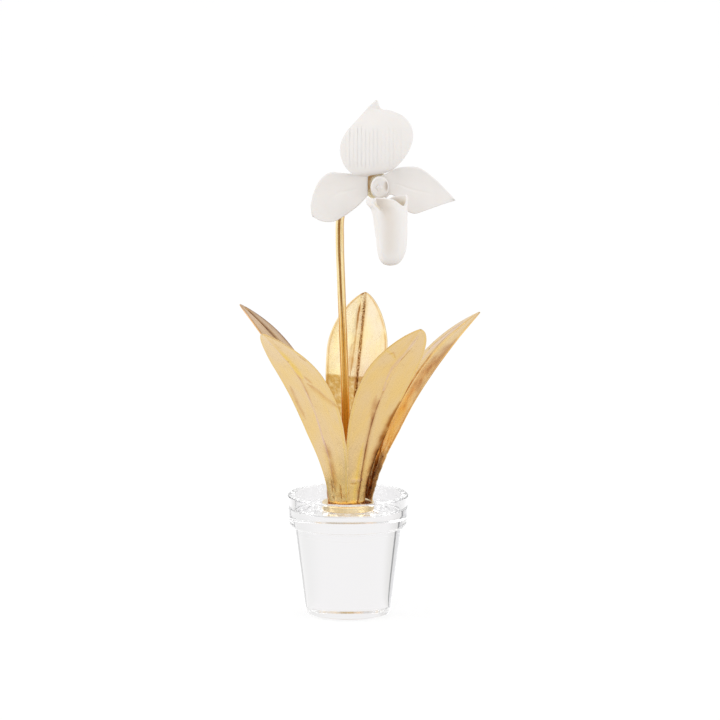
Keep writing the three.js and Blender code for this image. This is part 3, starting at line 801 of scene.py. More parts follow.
def make_stem():
    x = BLOOM_AT[0] + CALYX["centre"][0]
    y = BLOOM_AT[1] + CALYX["thickness"]
    z = BLOOM_AT[2] + CALYX["centre"][1]
    route = (
        (0, 0, DISC_FOOT),
        (-0.2, 0, 80),
        (-0.7, 0, 100),
        (-2.0, 0, 150),
        (-3.8, 0.2, 200),
        (-5.0, 0.6, 238),
        (-4.7, 1.0, 252),
        (-2.2, 1.6, 262.5),
        (3.4, 2.0, 270),
        (x - 7.6, y + 15.0, z - 0.8),
        (x - 2.0, y + 11.6, z),
        (x, y + 7.4, z),
        (x, y + 4.2, z),
        (x, y + 2 * GAP, z),
    )
    steps, sides, radius = STEM["steps"], STEM["sides"], STEM["radius"]
    shares = np.linspace(0, 1, steps + 1)
    line = spline(route, shares)
    heading = unit(np.gradient(line, axis=0))
    across = np.zeros_like(line)
    before = np.array([1.0, 0, 0])
    for i, h in enumerate(heading):
        before = across[i] = unit(before - h * (before @ h))
    other = np.cross(heading, across)
    a = np.linspace(0, 2 * math.pi, sides, endpoint=False)
    run = shares * np.sum(np.linalg.norm(np.diff(line, axis=0), axis=1))
    ring = np.stack([radius * np.cos(a), radius * np.sin(a)], -1)
    ring = np.broadcast_to(ring, (steps + 1, sides, 2))
    grain = np.concatenate([ring, np.broadcast_to(run[:, None, None], (steps + 1, sides, 1))], axis=-1)
    # Drawn rod: shallow flats and lines along it, and a few soft dents.
    swell = radius + worked(grain, **STEM["lines"]) + worked(grain, **STEM["dents"])
    plain_foot, plain_end = STEM["plain_foot"], np.subtract(run[-1], STEM["plain_end"])
    held = smooth_step(run, *plain_foot) * (1 - smooth_step(run, *plain_end))
    swell = radius + (swell - radius) * held[:, None]
    points = (
        line[:, None]
        + across[:, None] * (swell * np.cos(a))[..., None]
        + other[:, None] * (swell * np.sin(a))[..., None]
    )
    faces = skin_faces(steps + 1, sides)
    # Painted light: going down, a painted reflection of the gilt leaves, deeper then darker; above it a paler
    # painted highlight; and down the right side a darker painted reflection.
    low = 1 - smooth_step(points[..., 2], *STEM["deeper"])
    lowest = 1 - smooth_step(points[..., 2], *STEM["darker"])
    from_front = np.degrees(a) - 270
    dull = smooth_step(from_front, *STEM["dark_reflection_side"]) * (1 - low)
    tint = tinted(low, LEAF_REFLECTION) * tinted(lowest, DEEP_LEAF_REFLECTION) * tinted(1 - low, ROD_HIGHLIGHT) * tinted(dull, TAN)
    return piece("gilt_stem", points.reshape(-1, 3), faces, grain.reshape(-1, 3), tint)


def make_calyx():
    def dulled_face(height):
        return tinted(1 - smooth_step(np.abs(height), *CALYX["dull_face"]), DULLED)

    radius, socket = CALYX["radius"], CALYX["socket_radius"]
    back, e, fillet = CALYX["thickness"], CALYX["edge_round"], CALYX["fillet"]
    end = back + CALYX["socket_length"]
    profile = np.concatenate(
        [
            [(0, 0)],
            arc(radius - e, e, e, -90, 0, 5),
            arc(radius - e, back - e, e, 0, 90, 5),
            arc(socket + fillet, back + fillet, fillet, -90, -180, 5),
            arc(socket - e, end - e, e, 0, 90, 4),
            [(BORE, end), (BORE, back + GAP), (0, back + GAP)],
        ]
    )
    profile[:, 1] *= -1
    at = BLOOM_AT + [CALYX["centre"][0], 0, CALYX["centre"][1]]
    return lathe("gilt_calyx", profile, CALYX["sides"], axis="y", at=at, tints=dulled_face)


# ------------------------------------------------------------------ leaves


def blank_half_width(s):
    b = BLANK
    swelling = b["base"] + (1 - b["base"]) * np.sin(math.pi / 2 * np.minimum(1, s / b["peak"])) ** b["rise"]
    closing = np.clip(1 - np.clip((s - b["peak"]) / (1 - b["peak"]), 0, 1) ** b["fall"], 0, 1) ** b["round"]
    return np.maximum(LEAF_THICKNESS / 2, b["half_width"] * np.where(s < b["peak"], swelling, closing))


def near_line(s, d, length, half_width, line):
    """1 on a line of (share of the length, mm from the midrib) points, fading away over half_width,
    and narrower towards both its ends."""
    points = np.array(line) * [length, 1]
    here = np.stack([s * length, d], -1)
    runs = np.linalg.norm(np.diff(points, axis=0), axis=1)
    starts = np.concatenate([[0], np.cumsum(runs)])
    gap = np.full(np.shape(s), np.inf)
    end = np.zeros(np.shape(s))
    for a, b, start, run in zip(points, points[1:], starts, runs):
        t = np.clip((here - a) @ (b - a) / run**2, 0, 1)
        to_here = np.linalg.norm(here - a - t[..., None] * (b - a), axis=-1)
        nearer = to_here < gap
        gap = np.where(nearer, to_here, gap)
        along = (start + t * run) / starts[-1]
        end = np.where(nearer, np.minimum(along, 1 - along), end)
    taper = np.clip(end / MARK_TAPER["share"], MARK_TAPER["least"], 1)
    return hump(gap, half_width * taper)


def make_leaf(leaf):
    middles = (np.arange(LEAF_STEPS) + 0.5) / LEAF_STEPS
    length, marks, own = leaf["length"], leaf["marks"], leaf["azimuth"][0]

    def lean_at(s):
        return np.radians(lerp(leaf["lean"], s ** leaf["bend"]))

    def azimuth_at(s):
        return np.radians(lerp(leaf["azimuth"], s**EARLY_TURN))

    def towards(lean, azimuth):
        return np.stack(
            [np.sin(lean) * np.cos(azimuth), np.sin(lean) * np.sin(azimuth), np.cos(lean) + 0 * azimuth], -1
        )

    foot = math.radians(leaf["azimuth"][0])
    base = [leaf["reach"] * math.cos(foot), leaf["reach"] * math.sin(foot), DISC_TOP + LEAF_SEAT]
    headings = towards(lean_at(middles), azimuth_at(middles)) * length / LEAF_STEPS
    midline = np.concatenate([[base], base + np.cumsum(headings, axis=0)])
    stations = np.linspace(0, 1, LEAF_STEPS + 1)

    def place(s, d):
        """Where the blade's own grain and dents are looked up."""
        return np.stack([d, 0 * d + own, s * length], -1)

    def in_rib(s, d):
        """1 in the middle of the pressed midrib, which fades out at both ends of the leaf."""
        near = np.clip(1 - np.abs(d) / MIDRIB["half_width"], 0, 1)
        ends = np.clip(s / MIDRIB["foot"], 0, 1), np.clip((1 - s) / MIDRIB["tip"], 0, 1)
        return smooth_step(near, 0, MIDRIB["flank"]) * ends[0] * ends[1]

    def in_knurl(s, d):
        """The rough beading along a knurled midrib."""
        return leaf.get("knurled", False) * soft_noise(place(s, d), KNURL["scale"])

    def pressed(s, d):
        """How far the blade is pressed, hammered and crumpled away from the stem."""
        at = place(s, d)
        away = leaf.get("rib_depth", MIDRIB["depth"]) * in_rib(s, d) * (1 + KNURL["relief"] * in_knurl(s, d))
        away += worked(at, **HAMMERED) * smooth_step(s, *HAMMERED_FROM)
        at_foot = (1 - smooth_step(s, *leaf.get("crumple", FOOT_CRUMPLE))) * smooth_step(s, 0, FOOT_FLAT)
        away += (worked(at, **DENTED) + worked(at, **PLEATED)) * at_foot
        for _, half_width, depth, *line in marks:
            if depth:
                away += depth * near_line(s, d, length, half_width, line)
        return away

    def surface(s, v):
        lean, azimuth = lean_at(s), azimuth_at(s)
        level = np.stack([-np.sin(azimuth), np.cos(azimuth), 0 * azimuth], -1)
        inward = towards(lean - math.pi / 2, azimuth)
        roll = np.radians(lerp(leaf["roll"], s))[..., None]
        side = level * np.cos(roll) + inward * np.sin(roll)
        face = inward * np.cos(roll) - level * np.sin(roll)
        d = v * blank_half_width(s)
        fold = math.radians(leaf["fold"]) * np.minimum(1, s / FOLD_OPENS)
        curl = leaf["curl"] + np.maximum(0, 1 - s / WRAP["share"]) ** WRAP["opening"] / WRAP["radius"]
        curl = np.where(np.abs(curl) < NO_CURL, NO_CURL, curl)
        turn = fold + curl * np.abs(d)
        across = np.sign(d) * (np.sin(turn) - np.sin(fold)) / curl
        rise = (np.cos(fold) - np.cos(turn)) / curl
        middle = np.stack([np.interp(s, stations, midline[:, i]) for i in range(3)], -1)
        return middle + side * across[..., None] + face * (rise - pressed(s, d))[..., None]

    def tints(s, v, middle):
        width = blank_half_width(s)
        d = v * width
        both = tinted(np.ones_like(s), leaf.get("whole", PLAIN))
        uneven = patchy(place(s, d), scale=0.15, mean=0.8)
        rim = hump(width - np.abs(d) - RIM_LINE["inset"], RIM_LINE["half_width"]) * uneven
        both = both * tinted(rim, leaf.get("rim", GOLDEN))
        for tint, half_width, _, *line in marks:
            both = both * tinted(near_line(s, d, length, half_width, line) * uneven, tint)
        # The leaf is darker from its foot up to a line across it: a painted reflection.
        if "dark_reflection_below" in leaf:
            below = 1 - smooth_step(s, leaf["dark_reflection_below"] - DARK_REFLECTION_SOFT, leaf["dark_reflection_below"] + DARK_REFLECTION_SOFT)
            both = both * tinted(below * patchy(middle, scale=0.45, mean=0.85), DARK_REFLECTION)
        groove = in_rib(s, d) * np.clip(KNURL["rest"] + KNURL["tint"] * in_knurl(s, d), 0, 1)
        return both * tinted(groove, leaf.get("in_rib", SOFT)), both

    u = np.linspace(-1, 1, LEAF_COLUMNS)
    closer_at_rib = u * (0.5 + 0.5 * u * u)
    name, half = "gilt_" + leaf["name"], LEAF_THICKNESS / 2
    return sheet(name, surface, stations_to(LEAF_ROWS), closer_at_rib, half, length, tints)


# ------------------------------------------------------------------ bloom


def petal(name, shape, relief, shade=None):
    def surface(s, v):
        flat = np.ravel(s)
        left = spline(shape["left"], flat).reshape(*s.shape, 3)
        right = spline(shape["right"], flat).reshape(*s.shape, 3)
        point = left + (right - left) * ((v + 1) / 2)[..., None]
        bulge = shape["bulge"] * np.sin(math.pi * np.minimum(1, BULGE_SHORT * s)) * (1 - v * v)
        point[..., 1] -= bulge + relief(s, v, point)
        return point + BLOOM_AT

    def tints(s, v, middle):
        tint = tinted(shade(s, v, middle - BLOOM_AT), CLAY_SHADE)
        return tint, np.ones_like(tint)

    stations, columns = stations_to(shape["rows"]), np.linspace(-1, 1, shape["columns"])
    return sheet(name, surface, stations, columns, PETAL_THICKNESS / 2, shape["length"], shade and tints)


def sepal_lines(s, v, point):
    """How deep in one of the sepal's lines a point is, from 0 to 1. Each line has its own depth and
    length, and those on the left are deeper."""
    line = SEPAL_LINES
    x, z = point[..., 0], point[..., 2]
    turn = (x - line["first"]) / line["pitch"]
    to_line = np.abs((turn + 0.5) % 1 - 0.5) * line["pitch"]
    faintest, (step, start) = line["faintest"], line["shuffle"]
    own = faintest + (1 - faintest) * np.abs(np.sin(np.round(turn) * step + start))
    side = smooth_step(x, *line["left"]) * (1 - line["thinned"] * smooth_step(x, *line["thinning"]))
    side = side * (1 - smooth_step(x, *line["right"]))
    foot, top = line["foot"], line["top"]
    above_foot = smooth_step(z, foot[0] + line["foot_spread"] * own, foot[1])
    ends = above_foot * (1 - smooth_step(z, top[0] + line["top_spread"] * own, top[1]))
    inside = smooth_step(1 - np.abs(v), 0, line["plain_edge"])
    return hump(to_line, line["half_width"]) * own * side * ends * inside


def sepal_relief(s, v, point):
    return -SEPAL_LINES["depth"] * sepal_lines(s, v, point)


def petal_relief(s, v, point):
    vein, ripple = PETAL_VEIN, PETAL_RIPPLE
    in_vein = hump(v, vein["half_width"]) * smooth_step(s, *vein["start"])
    in_vein = in_vein * (1 - smooth_step(s, *vein["end"]))
    rippled = soft_noise(point + ripple["place"], ripple["scale"], 2) * ripple["depth"]
    return rippled * smooth_step(s, *ripple["start"]) - vein["depth"] * in_vein


def make_pouch():
    p = POUCH
    knots = np.zeros((len(p["rings"]), 9))
    knots[:, :7] = p["rings"]
    knots[: len(p["rim_share"]), 7] = p["rim_share"]
    knots[: len(HEEL["share"]), 8] = HEEL["share"]
    rows = spline(knots, np.linspace(0, 1, p["rows"] + 1))
    degrees = np.linspace(0, 360, p["sides"], endpoint=False)
    rim = np.interp(degrees, *spline(p["rim"], np.linspace(0, 1, p["rim_steps"])).T)
    a = np.radians(degrees)
    heel_near = hump(degrees - HEEL["at"], HEEL["spread"])

    def in_fold(start, z):
        """How far into the fold each side of a ring lies, from 0 to 1."""
        across = ((degrees - start + 180) % 360 - 180) / FRONT_FOLD["width"]
        slack = smooth_step(-z, *FRONT_FOLD["slack_depth"])
        entry = [lerp(pair, slack) for pair in zip(FRONT_FOLD["steep"], FRONT_FOLD["slack"])]
        return smooth_step(across, *entry) * (1 - smooth_step(across, *FRONT_FOLD["easy"]))

    def ring(row, inset):
        x, y, z, half_width, half_depth, fold, fold_start, rim_share, heel_share = row
        half_width, half_depth = max(0, half_width - inset), max(0, half_depth - inset)
        pushed = HEEL["reach"] * heel_share * heel_near + fold * in_fold(fold_start, z)
        height = z + rim_share * (rim - knots[0, 2])
        return np.stack([x + half_width * np.sin(a), y - half_depth * np.cos(a) + pushed, height], -1)

    wall = p["wall"]
    outer = [ring(row, 0) for row in rows[:-1]]
    inner_rows = [row for row in rows if row[3] > wall + p["least_inside"]]
    inner = [ring(row, wall) for row in inner_rows]
    mouth = []
    for angle in np.radians((30, 60, 90, 120, 150)):
        lip = ring(rows[0], wall / 2 * (1 - math.cos(angle)))
        lip[:, 2] += wall / 2 * math.sin(angle)
        mouth.append(lip)
    loops = np.array([*outer[::-1], *mouth, *inner]) + BLOOM_AT
    count, around = loops.shape[:2]

    def shade_in_fold(row):
        height, fold, fold_start = row[2], row[5], row[6]
        deep = FOLD_SHADE["least"] * min(1, fold) + FOLD_SHADE["by_depth"] * fold
        return deep * in_fold(fold_start + FOLD_SHADE["turned"], height)

    none = 0 * degrees
    shade = [shade_in_fold(row) for row in rows[:-1]][::-1] + [none] * (len(mouth) + len(inner))
    # Painted warm shade inside the slipper, setting in over the first few mm below the mouth.
    inside = [none + smooth_step(rows[0][2] - row[2], *WARM_BELOW) for row in inner_rows]
    inside = [none] * (len(outer) + len(mouth)) + inside
    tint = tinted(np.ravel(shade), CLAY_SHADE) * tinted(np.ravel(inside), CLAY_SHADED_INSIDE)
    return piece("bisque_pouch", loops.reshape(-1, 3), skin_faces(count, around), tint=tint)


def shield_relief(x, z, off_axis):
    """How far the shield's face stands out at x and z from its middle, and its shade from 0 to 1."""
    high = np.abs(z + SHIELD_LOW)
    m = SHIELD_LIP
    lip = hump(off_axis - m["at"], m["half_width"]) * (1 - smooth_step(x, *m["fades"]))
    dish = 1 - smooth_step(off_axis, *SHIELD_DISH["slope"])
    m = SHIELD_ARROW
    arrow = hump(high * m["slant"] - x + m["tip"], m["half_width"])
    arrow = arrow * smooth_step(m["half_height"] - high, 0, m["soft"])
    m = SHIELD_LOZENGE
    lozenge = np.clip(1 - (np.abs(x - m["at"]) / m["half_width"] + high / m["half_height"]), 0, 1)
    m = SHIELD_PIT
    across, up = (x - m["at"][0]) / m["half_width"], (z - m["at"][1]) / m["half_height"]
    pit = np.exp(-((across**2 + up**2) ** 2))
    raised = SHIELD_LIP["height"] * lip - SHIELD_DISH["depth"] * dish + SHIELD_LOZENGE["height"] * lozenge
    relief = raised - SHIELD_ARROW["depth"] * arrow - SHIELD_PIT["depth"] * pit
    return relief, np.clip(ARROW_SHADE * arrow + PIT_SHADE * pit, 0, 1)


def make_column():
    c = COLUMN
    back, front = c["neck_length"], c["neck_length"] + c["thickness"]
    width, edge = c["shield_half_width"], c["thickness"] / 2
    profile = np.concatenate(
        [
            [(0, 0), (c["neck_radius"], 0)],
            [(c["neck_radius"], h) for h in np.linspace(0.8, back - 0.2, c["neck_rings"])],
            arc(width - edge, back + edge, edge, -90, 90, 10),
            [(r, front) for r in np.linspace(width - edge, 0, c["face_rings"] + 1)[1:]],
        ]
    )
    sides = c["sides"]
    a = np.linspace(0, 2 * math.pi, sides, endpoint=False)
    r, h = profile[1:-1, :1], profile[1:-1, 1:]
    x, z, h = (np.append(np.ravel(v), (0, 0)) for v in (r * np.cos(a), r * np.sin(a), h + 0 * a))
    h[-1] = front
    bent = smooth_step(h, *c["bend"])
    off_axis = np.hypot(x, z) / width
    z = z * (1 + (c["shield_stretch"] - 1) * bent)
    on_face = h >= front - 0.01
    relief, shade = shield_relief(x, z, off_axis)
    across, up = c["shield_at"]
    tilted = math.tan(math.radians(c["tilt"])) * x * bent
    points = np.stack([x + across * bent, -GAP - h - relief * on_face + tilted, z + up * bent], -1)
    faces = turned_faces(len(profile) - 2, sides)
    return piece("bisque_column", points + BLOOM_AT, faces, tint=tinted(shade * on_face, CLAY_SHADE))


# ------------------------------------------------------------------ node building


class Wiring:
    """Adds nodes to a node tree and joins them."""

    def __init__(self, tree):
        self.tree = tree

    def node(self, kind, sockets=None, **settings):
        made = self.tree.nodes.new(kind)
        for name, value in settings.items():
            setattr(made, name, value)
        for name, value in (sockets or {}).items():
            if isinstance(value, bpy.types.NodeSocket):
                self.tree.links.new(value, made.inputs[name])
            else:
                made.inputs[name].default_value = value
        return made

    def math(self, operation, a, b=0.0):
        return self.node("ShaderNodeMath", {0: a, 1: b}, operation=operation).outputs[0]

    def range(self, value, low, high, to_low=0.0, to_high=1.0, smooth=True):
        made = self.node(
            "ShaderNodeMapRange",
            {"Value": value, "From Min": low, "From Max": high, "To Min": to_low, "To Max": to_high},
            interpolation_type="SMOOTHSTEP" if smooth else "LINEAR",
        )
        return made.outputs["Result"]

    def scaled(self, vector, factors):
        return self.node("ShaderNodeVectorMath", {0: vector, 1: factors}, operation="MULTIPLY").outputs[0]

    def noise(self, vector, scale, detail=3.0, roughness=0.5, stretch=None):
        if stretch:
            vector = self.scaled(vector, stretch)
        sockets = {"Vector": vector, "Scale": scale, "Detail": detail, "Roughness": roughness}
        return self.node("ShaderNodeTexNoise", sockets).outputs["Fac"]

    def noise_vector(self, vector, scale, reach):
        """A soft push of up to about half of reach each way."""
        made = self.node("ShaderNodeTexNoise", {"Vector": vector, "Scale": scale, "Detail": 2.0})
        return self.scaled(made.outputs["Color"], (reach, reach, reach))

    def mix(self, share, a, b):
        """Colour a where share is 0 and b where it is 1, each a socket or red, green and blue."""
        a, b = (c if isinstance(c, bpy.types.NodeSocket) else (*c, 1) for c in (a, b))
        return self.node("ShaderNodeMix", {0: share, 6: a, 7: b}, data_type="RGBA").outputs[2]

    def attribute(self, name):
        made = self.node("ShaderNodeAttribute", attribute_name=name, attribute_type="GEOMETRY")
        return made.outputs["Vector"]


def group(name, inputs, outputs):
    tree = bpy.data.node_groups.new(name, "ShaderNodeTree")
    for label, kind, value in inputs:
        socket = tree.interface.new_socket(label, in_out="INPUT", socket_type=kind)
        if value is not None:
            socket.default_value = value
    for label, kind in outputs:
        tree.interface.new_socket(label, in_out="OUTPUT", socket_type=kind)
    wires = Wiring(tree)
    return tree, wires, wires.node("NodeGroupInput").outputs, wires.node("NodeGroupOutput")


FLOAT, VECTOR = "NodeSocketFloat", "NodeSocketVector"


def gold_leaf_group():
    """Beaten gold leaf over worked brass: streaks along the grain, wrinkles, patches of rose and yellow
    gold, and in places a net of hairline cracks and small pits."""
    tree, w, given, out = group(
        "gold_leaf",
        [("Grain", VECTOR, None), ("Streaks", FLOAT, 0.5), ("Wrinkles", FLOAT, 0.5), ("Cracks", FLOAT, 0.5)],
        [("Height", FLOAT), ("Tone", FLOAT), ("Satin", FLOAT), ("Worn", FLOAT)],
    )
    grain = given["Grain"]
    streak, wrinkle, patch = (w.noise(grain, **each) for each in (STREAKS, WRINKLES, PATCHES))
    push = w.noise_vector(grain, CRACKS["bend_scale"], CRACKS["bend"])
    bent = w.node("ShaderNodeVectorMath", {0: grain, 1: push}, operation="ADD").outputs[0]
    sockets = {"Vector": bent, "Scale": CRACKS["scale"], "Randomness": 1.0}
    cells = w.node("ShaderNodeTexVoronoi", sockets, feature="DISTANCE_TO_EDGE")
    crack = w.range(cells.outputs["Distance"], 0.0, CRACKS["width"], 1.0, 0.0)
    crack = w.math("MULTIPLY", crack, w.range(w.noise(grain, scale=0.11), *CRACKS["where"]))
    dots = w.node("ShaderNodeTexVoronoi", {"Vector": grain, "Scale": PITS["scale"], "Randomness": 1.0})
    pit = w.range(dots.outputs["Distance"], *PITS["edge"], 1.0, 0.0)
    pit = w.math("MULTIPLY", pit, w.range(w.noise(grain, scale=0.16, detail=4.0), *PITS["where"]))
    either = w.math("MAXIMUM", w.math("MULTIPLY", crack, CRACKS["strength"]), pit)
    worn = w.math("MULTIPLY", either, given["Cracks"])
    height = w.math("MULTIPLY", streak, given["Streaks"])
    height = w.math("ADD", height, w.math("MULTIPLY", wrinkle, given["Wrinkles"]))
    height = w.math("SUBTRACT", height, w.math("MULTIPLY", worn, WORN_DEPTH))
    from_streak = w.math("MULTIPLY", streak, 1 - PATCH_SHARE)
    tone = w.math("ADD", w.math("MULTIPLY", patch, PATCH_SHARE), from_streak)
    join = tree.links.new
    join(height, out.inputs["Height"])
    join(w.range(tone, *TONE_RANGE), out.inputs["Tone"])
    join(w.range(wrinkle, *SATIN_RANGE), out.inputs["Satin"])
    join(worn, out.inputs["Worn"])
    return tree


def clay_group():
    """Unglazed porcelain: a very fine grain and soft drifts of tone."""
    outputs = [("Height", FLOAT), ("Tone", FLOAT)]
    tree, w, given, out = group("bisque_grain", [("Place", VECTOR, None)], outputs)
    fine = w.noise(given["Place"], scale=3.0, detail=4.0, roughness=0.6)
    broad = w.noise(given["Place"], scale=0.12, detail=2.0)
    tree.links.new(fine, out.inputs["Height"])
    tree.links.new(broad, out.inputs["Tone"])
    return tree


def new_material(name):
    made = bpy.data.materials.new(name)
    made.use_nodes = True
    w = Wiring(made.node_tree)
    shader = made.node_tree.nodes["Principled BSDF"]
    return made, w, shader


def gilt_material(name, leaf_group, rose, yellow, satin, streaks, cracks):
    """Gilt brass. rose and yellow are its two gold tones, and satin the roughness from burnished to
    matt."""
    made, w, shader = new_material(name)
    grain = w.attribute("grain")
    sockets = {"Grain": grain, "Streaks": streaks, "Wrinkles": WRINKLED, "Cracks": cracks}
    leaf = w.node("ShaderNodeGroup", sockets, node_tree=leaf_group).outputs
    gold = w.mix(leaf["Tone"], rose, yellow)
    colour = w.scaled(w.mix(leaf["Worn"], gold, WORN_BRASS), w.attribute("tint"))
    rough = w.range(leaf["Satin"], 0, 1, *satin, smooth=False)
    sockets = {"Height": leaf["Height"], "Strength": 1.0, "Distance": GILT_RELIEF}
    raised = w.node("ShaderNodeBump", sockets)
    join = made.node_tree.links.new
    join(colour, shader.inputs["Base Color"])
    join(rough, shader.inputs["Roughness"])
    join(raised.outputs["Normal"], shader.inputs["Normal"])
    shader.inputs["Metallic"].default_value = 1.0
    return made


def bisque_material(grain_group):
    made, w, shader = new_material("bisque_porcelain")
    clay = w.node("ShaderNodeGroup", {"Place": w.attribute("grain")}, node_tree=grain_group).outputs
    colour = w.mix(clay["Tone"], BISQUE["warm"], BISQUE["pale"])
    colour = w.scaled(colour, w.attribute("tint"))
    sockets = {"Height": clay["Height"], "Strength": 1.0, "Distance": BISQUE_RELIEF}
    raised = w.node("ShaderNodeBump", sockets)
    join = made.node_tree.links.new
    join(colour, shader.inputs["Base Color"])
    join(raised.outputs["Normal"], shader.inputs["Normal"])
    shader.inputs["Roughness"].default_value = BISQUE["roughness"]
    shader.inputs["Specular IOR Level"].default_value = BISQUE["specular"]
    shader.inputs["Subsurface Weight"].default_value = BISQUE_DEEP["share"]
    shader.inputs["Subsurface Radius"].default_value = BISQUE_DEEP["radius"]
    shader.inputs["Subsurface Scale"].default_value = 1.0
    return made


def glass_material():
    made, _, shader = new_material("clear_glass")
    shader.inputs["Roughness"].default_value = 0.0
    shader.inputs["Base Color"].default_value = (1.0, 1.0, 1.0, 1)
    shader.inputs["Transmission Weight"].default_value = 1.0
    shader.inputs["IOR"].default_value = 1.5
    return made


# ------------------------------------------------------------------ stage


def dress(thing, material, replaced):
    thing.data.materials.clear()
    thing.data.materials.append(material)
    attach(thing, "root")
    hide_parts(replaced)


def band(w, value, low, high, soft):
    """1 where value lies between low and high, fading to 0 over soft to either side."""
    rising = w.range(value, low - soft, low + soft)
    falling = w.range(value, high - soft, high + soft)
    return w.math("MULTIPLY", rising, w.math("SUBTRACT", 1.0, falling))


def azimuth_of(w, x, y):
    """Degrees round the object: 0 towards the bloom's side, 90 to its right and -90 to its left."""
    return w.math("DEGREES", w.math("ARCTAN2", x, w.math("MULTIPLY", y, -1.0)))


def through_glass(w, azimuth, rise):
    """What shows through the glass: a pale backdrop, greyer towards its sides, and two low dark flags
    that draw the edges of the glass."""
    seen = w.mix(band(w, azimuth, *GREYER_LEFT), SEEN_THROUGH, SEEN_AT_LEFT)
    seen = w.mix(band(w, azimuth, *GREYER_RIGHT), seen, SEEN_AT_RIGHT)
    seen = w.mix(band(w, azimuth, *SIDE_WALL), seen, SEEN_ON_SIDE)
    low = band(w, rise, *FLAG_RISE)
    for each in FLAGS:
        flag = w.math("MULTIPLY", band(w, azimuth, *each["side"]), low)
        seen = w.mix(w.math("MULTIPLY", flag, each["dark"]), seen, FLAG)
    return seen


def of_studio(w, azimuth, rise, mirrored, softly):
    """Picks the level that a ray sees by its kind: in gilding, in the glass's own polish, through the
    glass, straight from the camera or by soft light."""
    paths = w.node("ShaderNodeLightPath").outputs
    level = w.mix(paths["Is Glossy Ray"], softly, mirrored)
    level = w.mix(paths["Is Singular Ray"], level, IN_GLASS)
    level = w.mix(paths["Is Transmission Ray"], level, through_glass(w, azimuth, rise))
    return w.mix(paths["Is Camera Ray"], level, BACKDROP)


def make_world():
    world = bpy.data.worlds.new("studio")
    bpy.context.scene.world = world
    world.use_nodes = True
    tree = world.node_tree
    w = Wiring(tree)
    direction = w.node("ShaderNodeTexCoord").outputs["Generated"]
    x, y, z = w.node("ShaderNodeSeparateXYZ", {0: direction}).outputs
    azimuth = azimuth_of(w, x, y)
    room = w.mix(w.range(x, *BACK_TURNS), BACK_LEFT, BACK_RIGHT)
    backdrop = w.mix(band(w, z, *BACKDROP_RISE), WALL, room)
    mirrored = w.mix(band(w, azimuth, *FRONT_SIDE), backdrop, WALL)
    mirrored = w.mix(w.range(z, *CEILING), mirrored, ROOM_TOP)
    panel = w.math("MULTIPLY", band(w, azimuth, *PANEL_SIDE), band(w, z, *PANEL_RISE))
    mirrored = w.mix(panel, mirrored, PANEL)
    front = w.math("MULTIPLY", band(w, azimuth, *DARK_SIDE), band(w, z, *DARK_RISE))
    mirrored = w.mix(front, mirrored, DARK_ROOM)
    softly = w.mix(w.range(x, *SOFT_LEFT_ENDS), SOFT_LEFT, SOFT_FRONT)
    softly = w.mix(w.range(x, *SOFT_RIGHT_STARTS), softly, SOFT_RIGHT)
    softly = w.mix(w.range(z, *SOFT_TOP_STARTS), softly, SOFT_TOP)
    level = of_studio(w, azimuth, z, mirrored, softly)
    tree.links.new(level, tree.nodes["Background"].inputs["Color"])


def make_floor():
    mesh = bpy.data.meshes.new("floor")
    radius, sides = FLOOR["radius"], FLOOR["sides"]
    a = np.linspace(0, 2 * math.pi, sides, endpoint=False)
    rim = [(radius * math.cos(t), radius * math.sin(t), 0) for t in a]
    mesh.from_pydata(rim, [], [tuple(range(sides))])
    floor = bpy.data.objects.new("floor", mesh)
    floor.location.z = FLOOR["height"]
    bpy.context.scene.collection.objects.link(floor)
    made = bpy.data.materials.new("pale_floor")
    made.use_nodes = True
    tree = made.node_tree
    tree.nodes.clear()
    w = Wiring(tree)
    place = w.node("ShaderNodeNewGeometry").outputs["Position"]
    x, y, _ = w.node("ShaderNodeSeparateXYZ", {0: place}).outputs
    azimuth = azimuth_of(w, x, y)
    distance = w.node("ShaderNodeVectorMath", {0: place}, operation="LENGTH").outputs["Value"]
    far = w.range(distance, *FLOOR["dark_from"])
    dark = w.math("MULTIPLY", band(w, azimuth, *DARK_SIDE), far)
    mirrored = w.mix(dark, FLOOR_MIRRORED, DARK_ROOM)
    level = of_studio(w, azimuth, FLOOR["rise"], mirrored, SOFT_FRONT)
    glow = w.node("ShaderNodeEmission", {"Color": level, "Strength": FLOOR_GLOW})
    matt = w.node("ShaderNodeBsdfDiffuse", {"Color": FLOOR_MATT})
    direct = w.node("ShaderNodeLightPath").outputs["Is Camera Ray"]
    share = w.math("MULTIPLY", direct, FLOOR["matt"])
    both = w.node("ShaderNodeMixShader", {0: share, 1: glow.outputs[0], 2: matt.outputs[0]})
    out = w.node("ShaderNodeOutputMaterial")
    tree.links.new(both.outputs[0], out.inputs["Surface"])
    made.cycles.emission_sampling = "NONE"
    mesh.materials.append(made)


def make_softbox(name, at):
    light = bpy.data.lights.new(name, "AREA")
    light.shape = "RECTANGLE"
    light.size, light.size_y = SOFTBOX["width"], SOFTBOX["height"]
    light.energy = SOFTBOX["power"]
    made = bpy.data.objects.new(name, light)
    made.location = at
    made.rotation_euler = (Vector(SOFTBOX["aim"]) - Vector(at)).to_track_quat("-Z", "Y").to_euler()
    made.visible_camera = False
    made.visible_glossy = False
    bpy.context.scene.collection.objects.link(made)


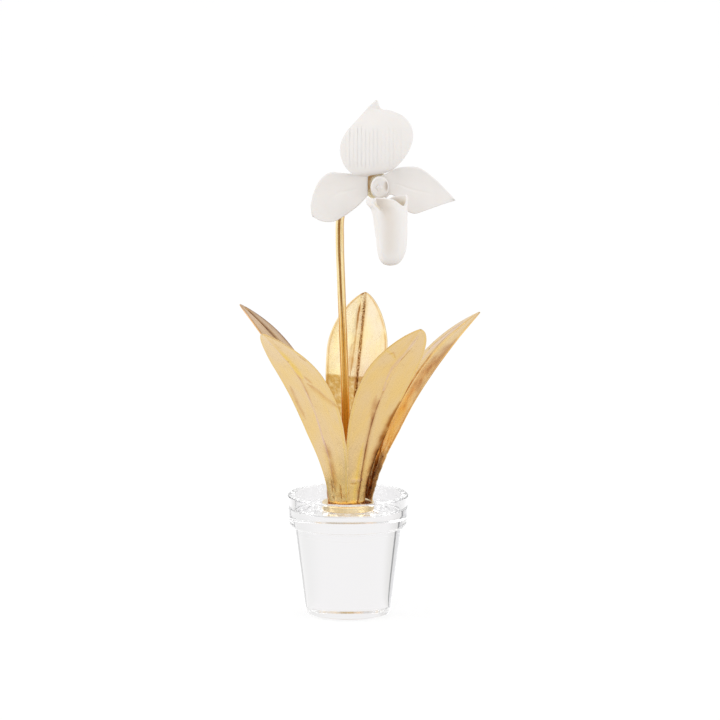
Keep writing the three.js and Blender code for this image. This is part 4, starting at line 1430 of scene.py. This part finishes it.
def make_camera():
    data = bpy.data.cameras.new("camera")
    data.lens = CAMERA["lens"]
    data.sensor_width = CAMERA["sensor"]
    made = bpy.data.objects.new("camera", data)
    made.location = CAMERA["at"]
    made.rotation_euler = (math.radians(90 - CAMERA["down"]), 0, 0)
    bpy.context.scene.collection.objects.link(made)
    bpy.context.scene.camera = made


# ------------------------------------------------------------------ the whole scene

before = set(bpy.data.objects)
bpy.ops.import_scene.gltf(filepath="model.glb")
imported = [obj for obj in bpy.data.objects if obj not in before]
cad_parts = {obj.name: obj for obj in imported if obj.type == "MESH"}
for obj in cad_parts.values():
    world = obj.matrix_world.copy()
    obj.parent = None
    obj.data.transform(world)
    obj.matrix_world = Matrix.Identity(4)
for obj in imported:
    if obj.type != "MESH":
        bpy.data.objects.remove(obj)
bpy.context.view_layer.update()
make_camera()
bpy.context.scene.view_settings.view_transform = "Standard"
turns = bpy.context.scene.cycles
turns.max_bounces = TURNS_IN_GLASS
turns.diffuse_bounces = TURNS_OFF_MATT
turns.glossy_bounces = TURNS_IN_GLASS
turns.transmission_bounces = TURNS_IN_GLASS

gold_leaf = gold_leaf_group()
gilt = gilt_material(
    "gilt_leaf",
    gold_leaf,
    rose=(0.83, 0.61, 0.33),
    yellow=(0.86, 0.61, 0.25),
    satin=(0.24, 0.34),
    streaks=0.5,
    cracks=0.6,
)
gilt_rod = gilt_material(
    "gilt_rod",
    gold_leaf,
    rose=(0.94, 0.74, 0.38),
    yellow=(0.89, 0.64, 0.26),
    satin=(0.14, 0.26),
    streaks=0.8,
    cracks=0.5,
)
bisque = bisque_material(clay_group())
glass = glass_material()

dress(make_pot(), glass, "pot")
dress(make_disc(), gilt_rod, "base_disc")
dress(make_stem(), gilt_rod, "stem")
dress(make_calyx(), gilt_rod, "calyx")
for each in LEAVES:
    dress(make_leaf(each), gilt, each["name"])
# The sepal's fine lines are cut in and also darkened with painted shade.
sepal = petal("bisque_dorsal_sepal", DORSAL_SEPAL, sepal_relief, sepal_lines)
dress(sepal, bisque, "dorsal_sepal")
dress(petal("bisque_petal_left", LEFT_PETAL, petal_relief), bisque, "petal_left")
dress(petal("bisque_petal_right", RIGHT_PETAL, petal_relief), bisque, "petal_right")
dress(make_pouch(), bisque, "pouch")
dress(make_column(), bisque, "column")

make_world()
make_floor()
for each, at in SOFTBOXES.items():
    make_softbox(each, at)
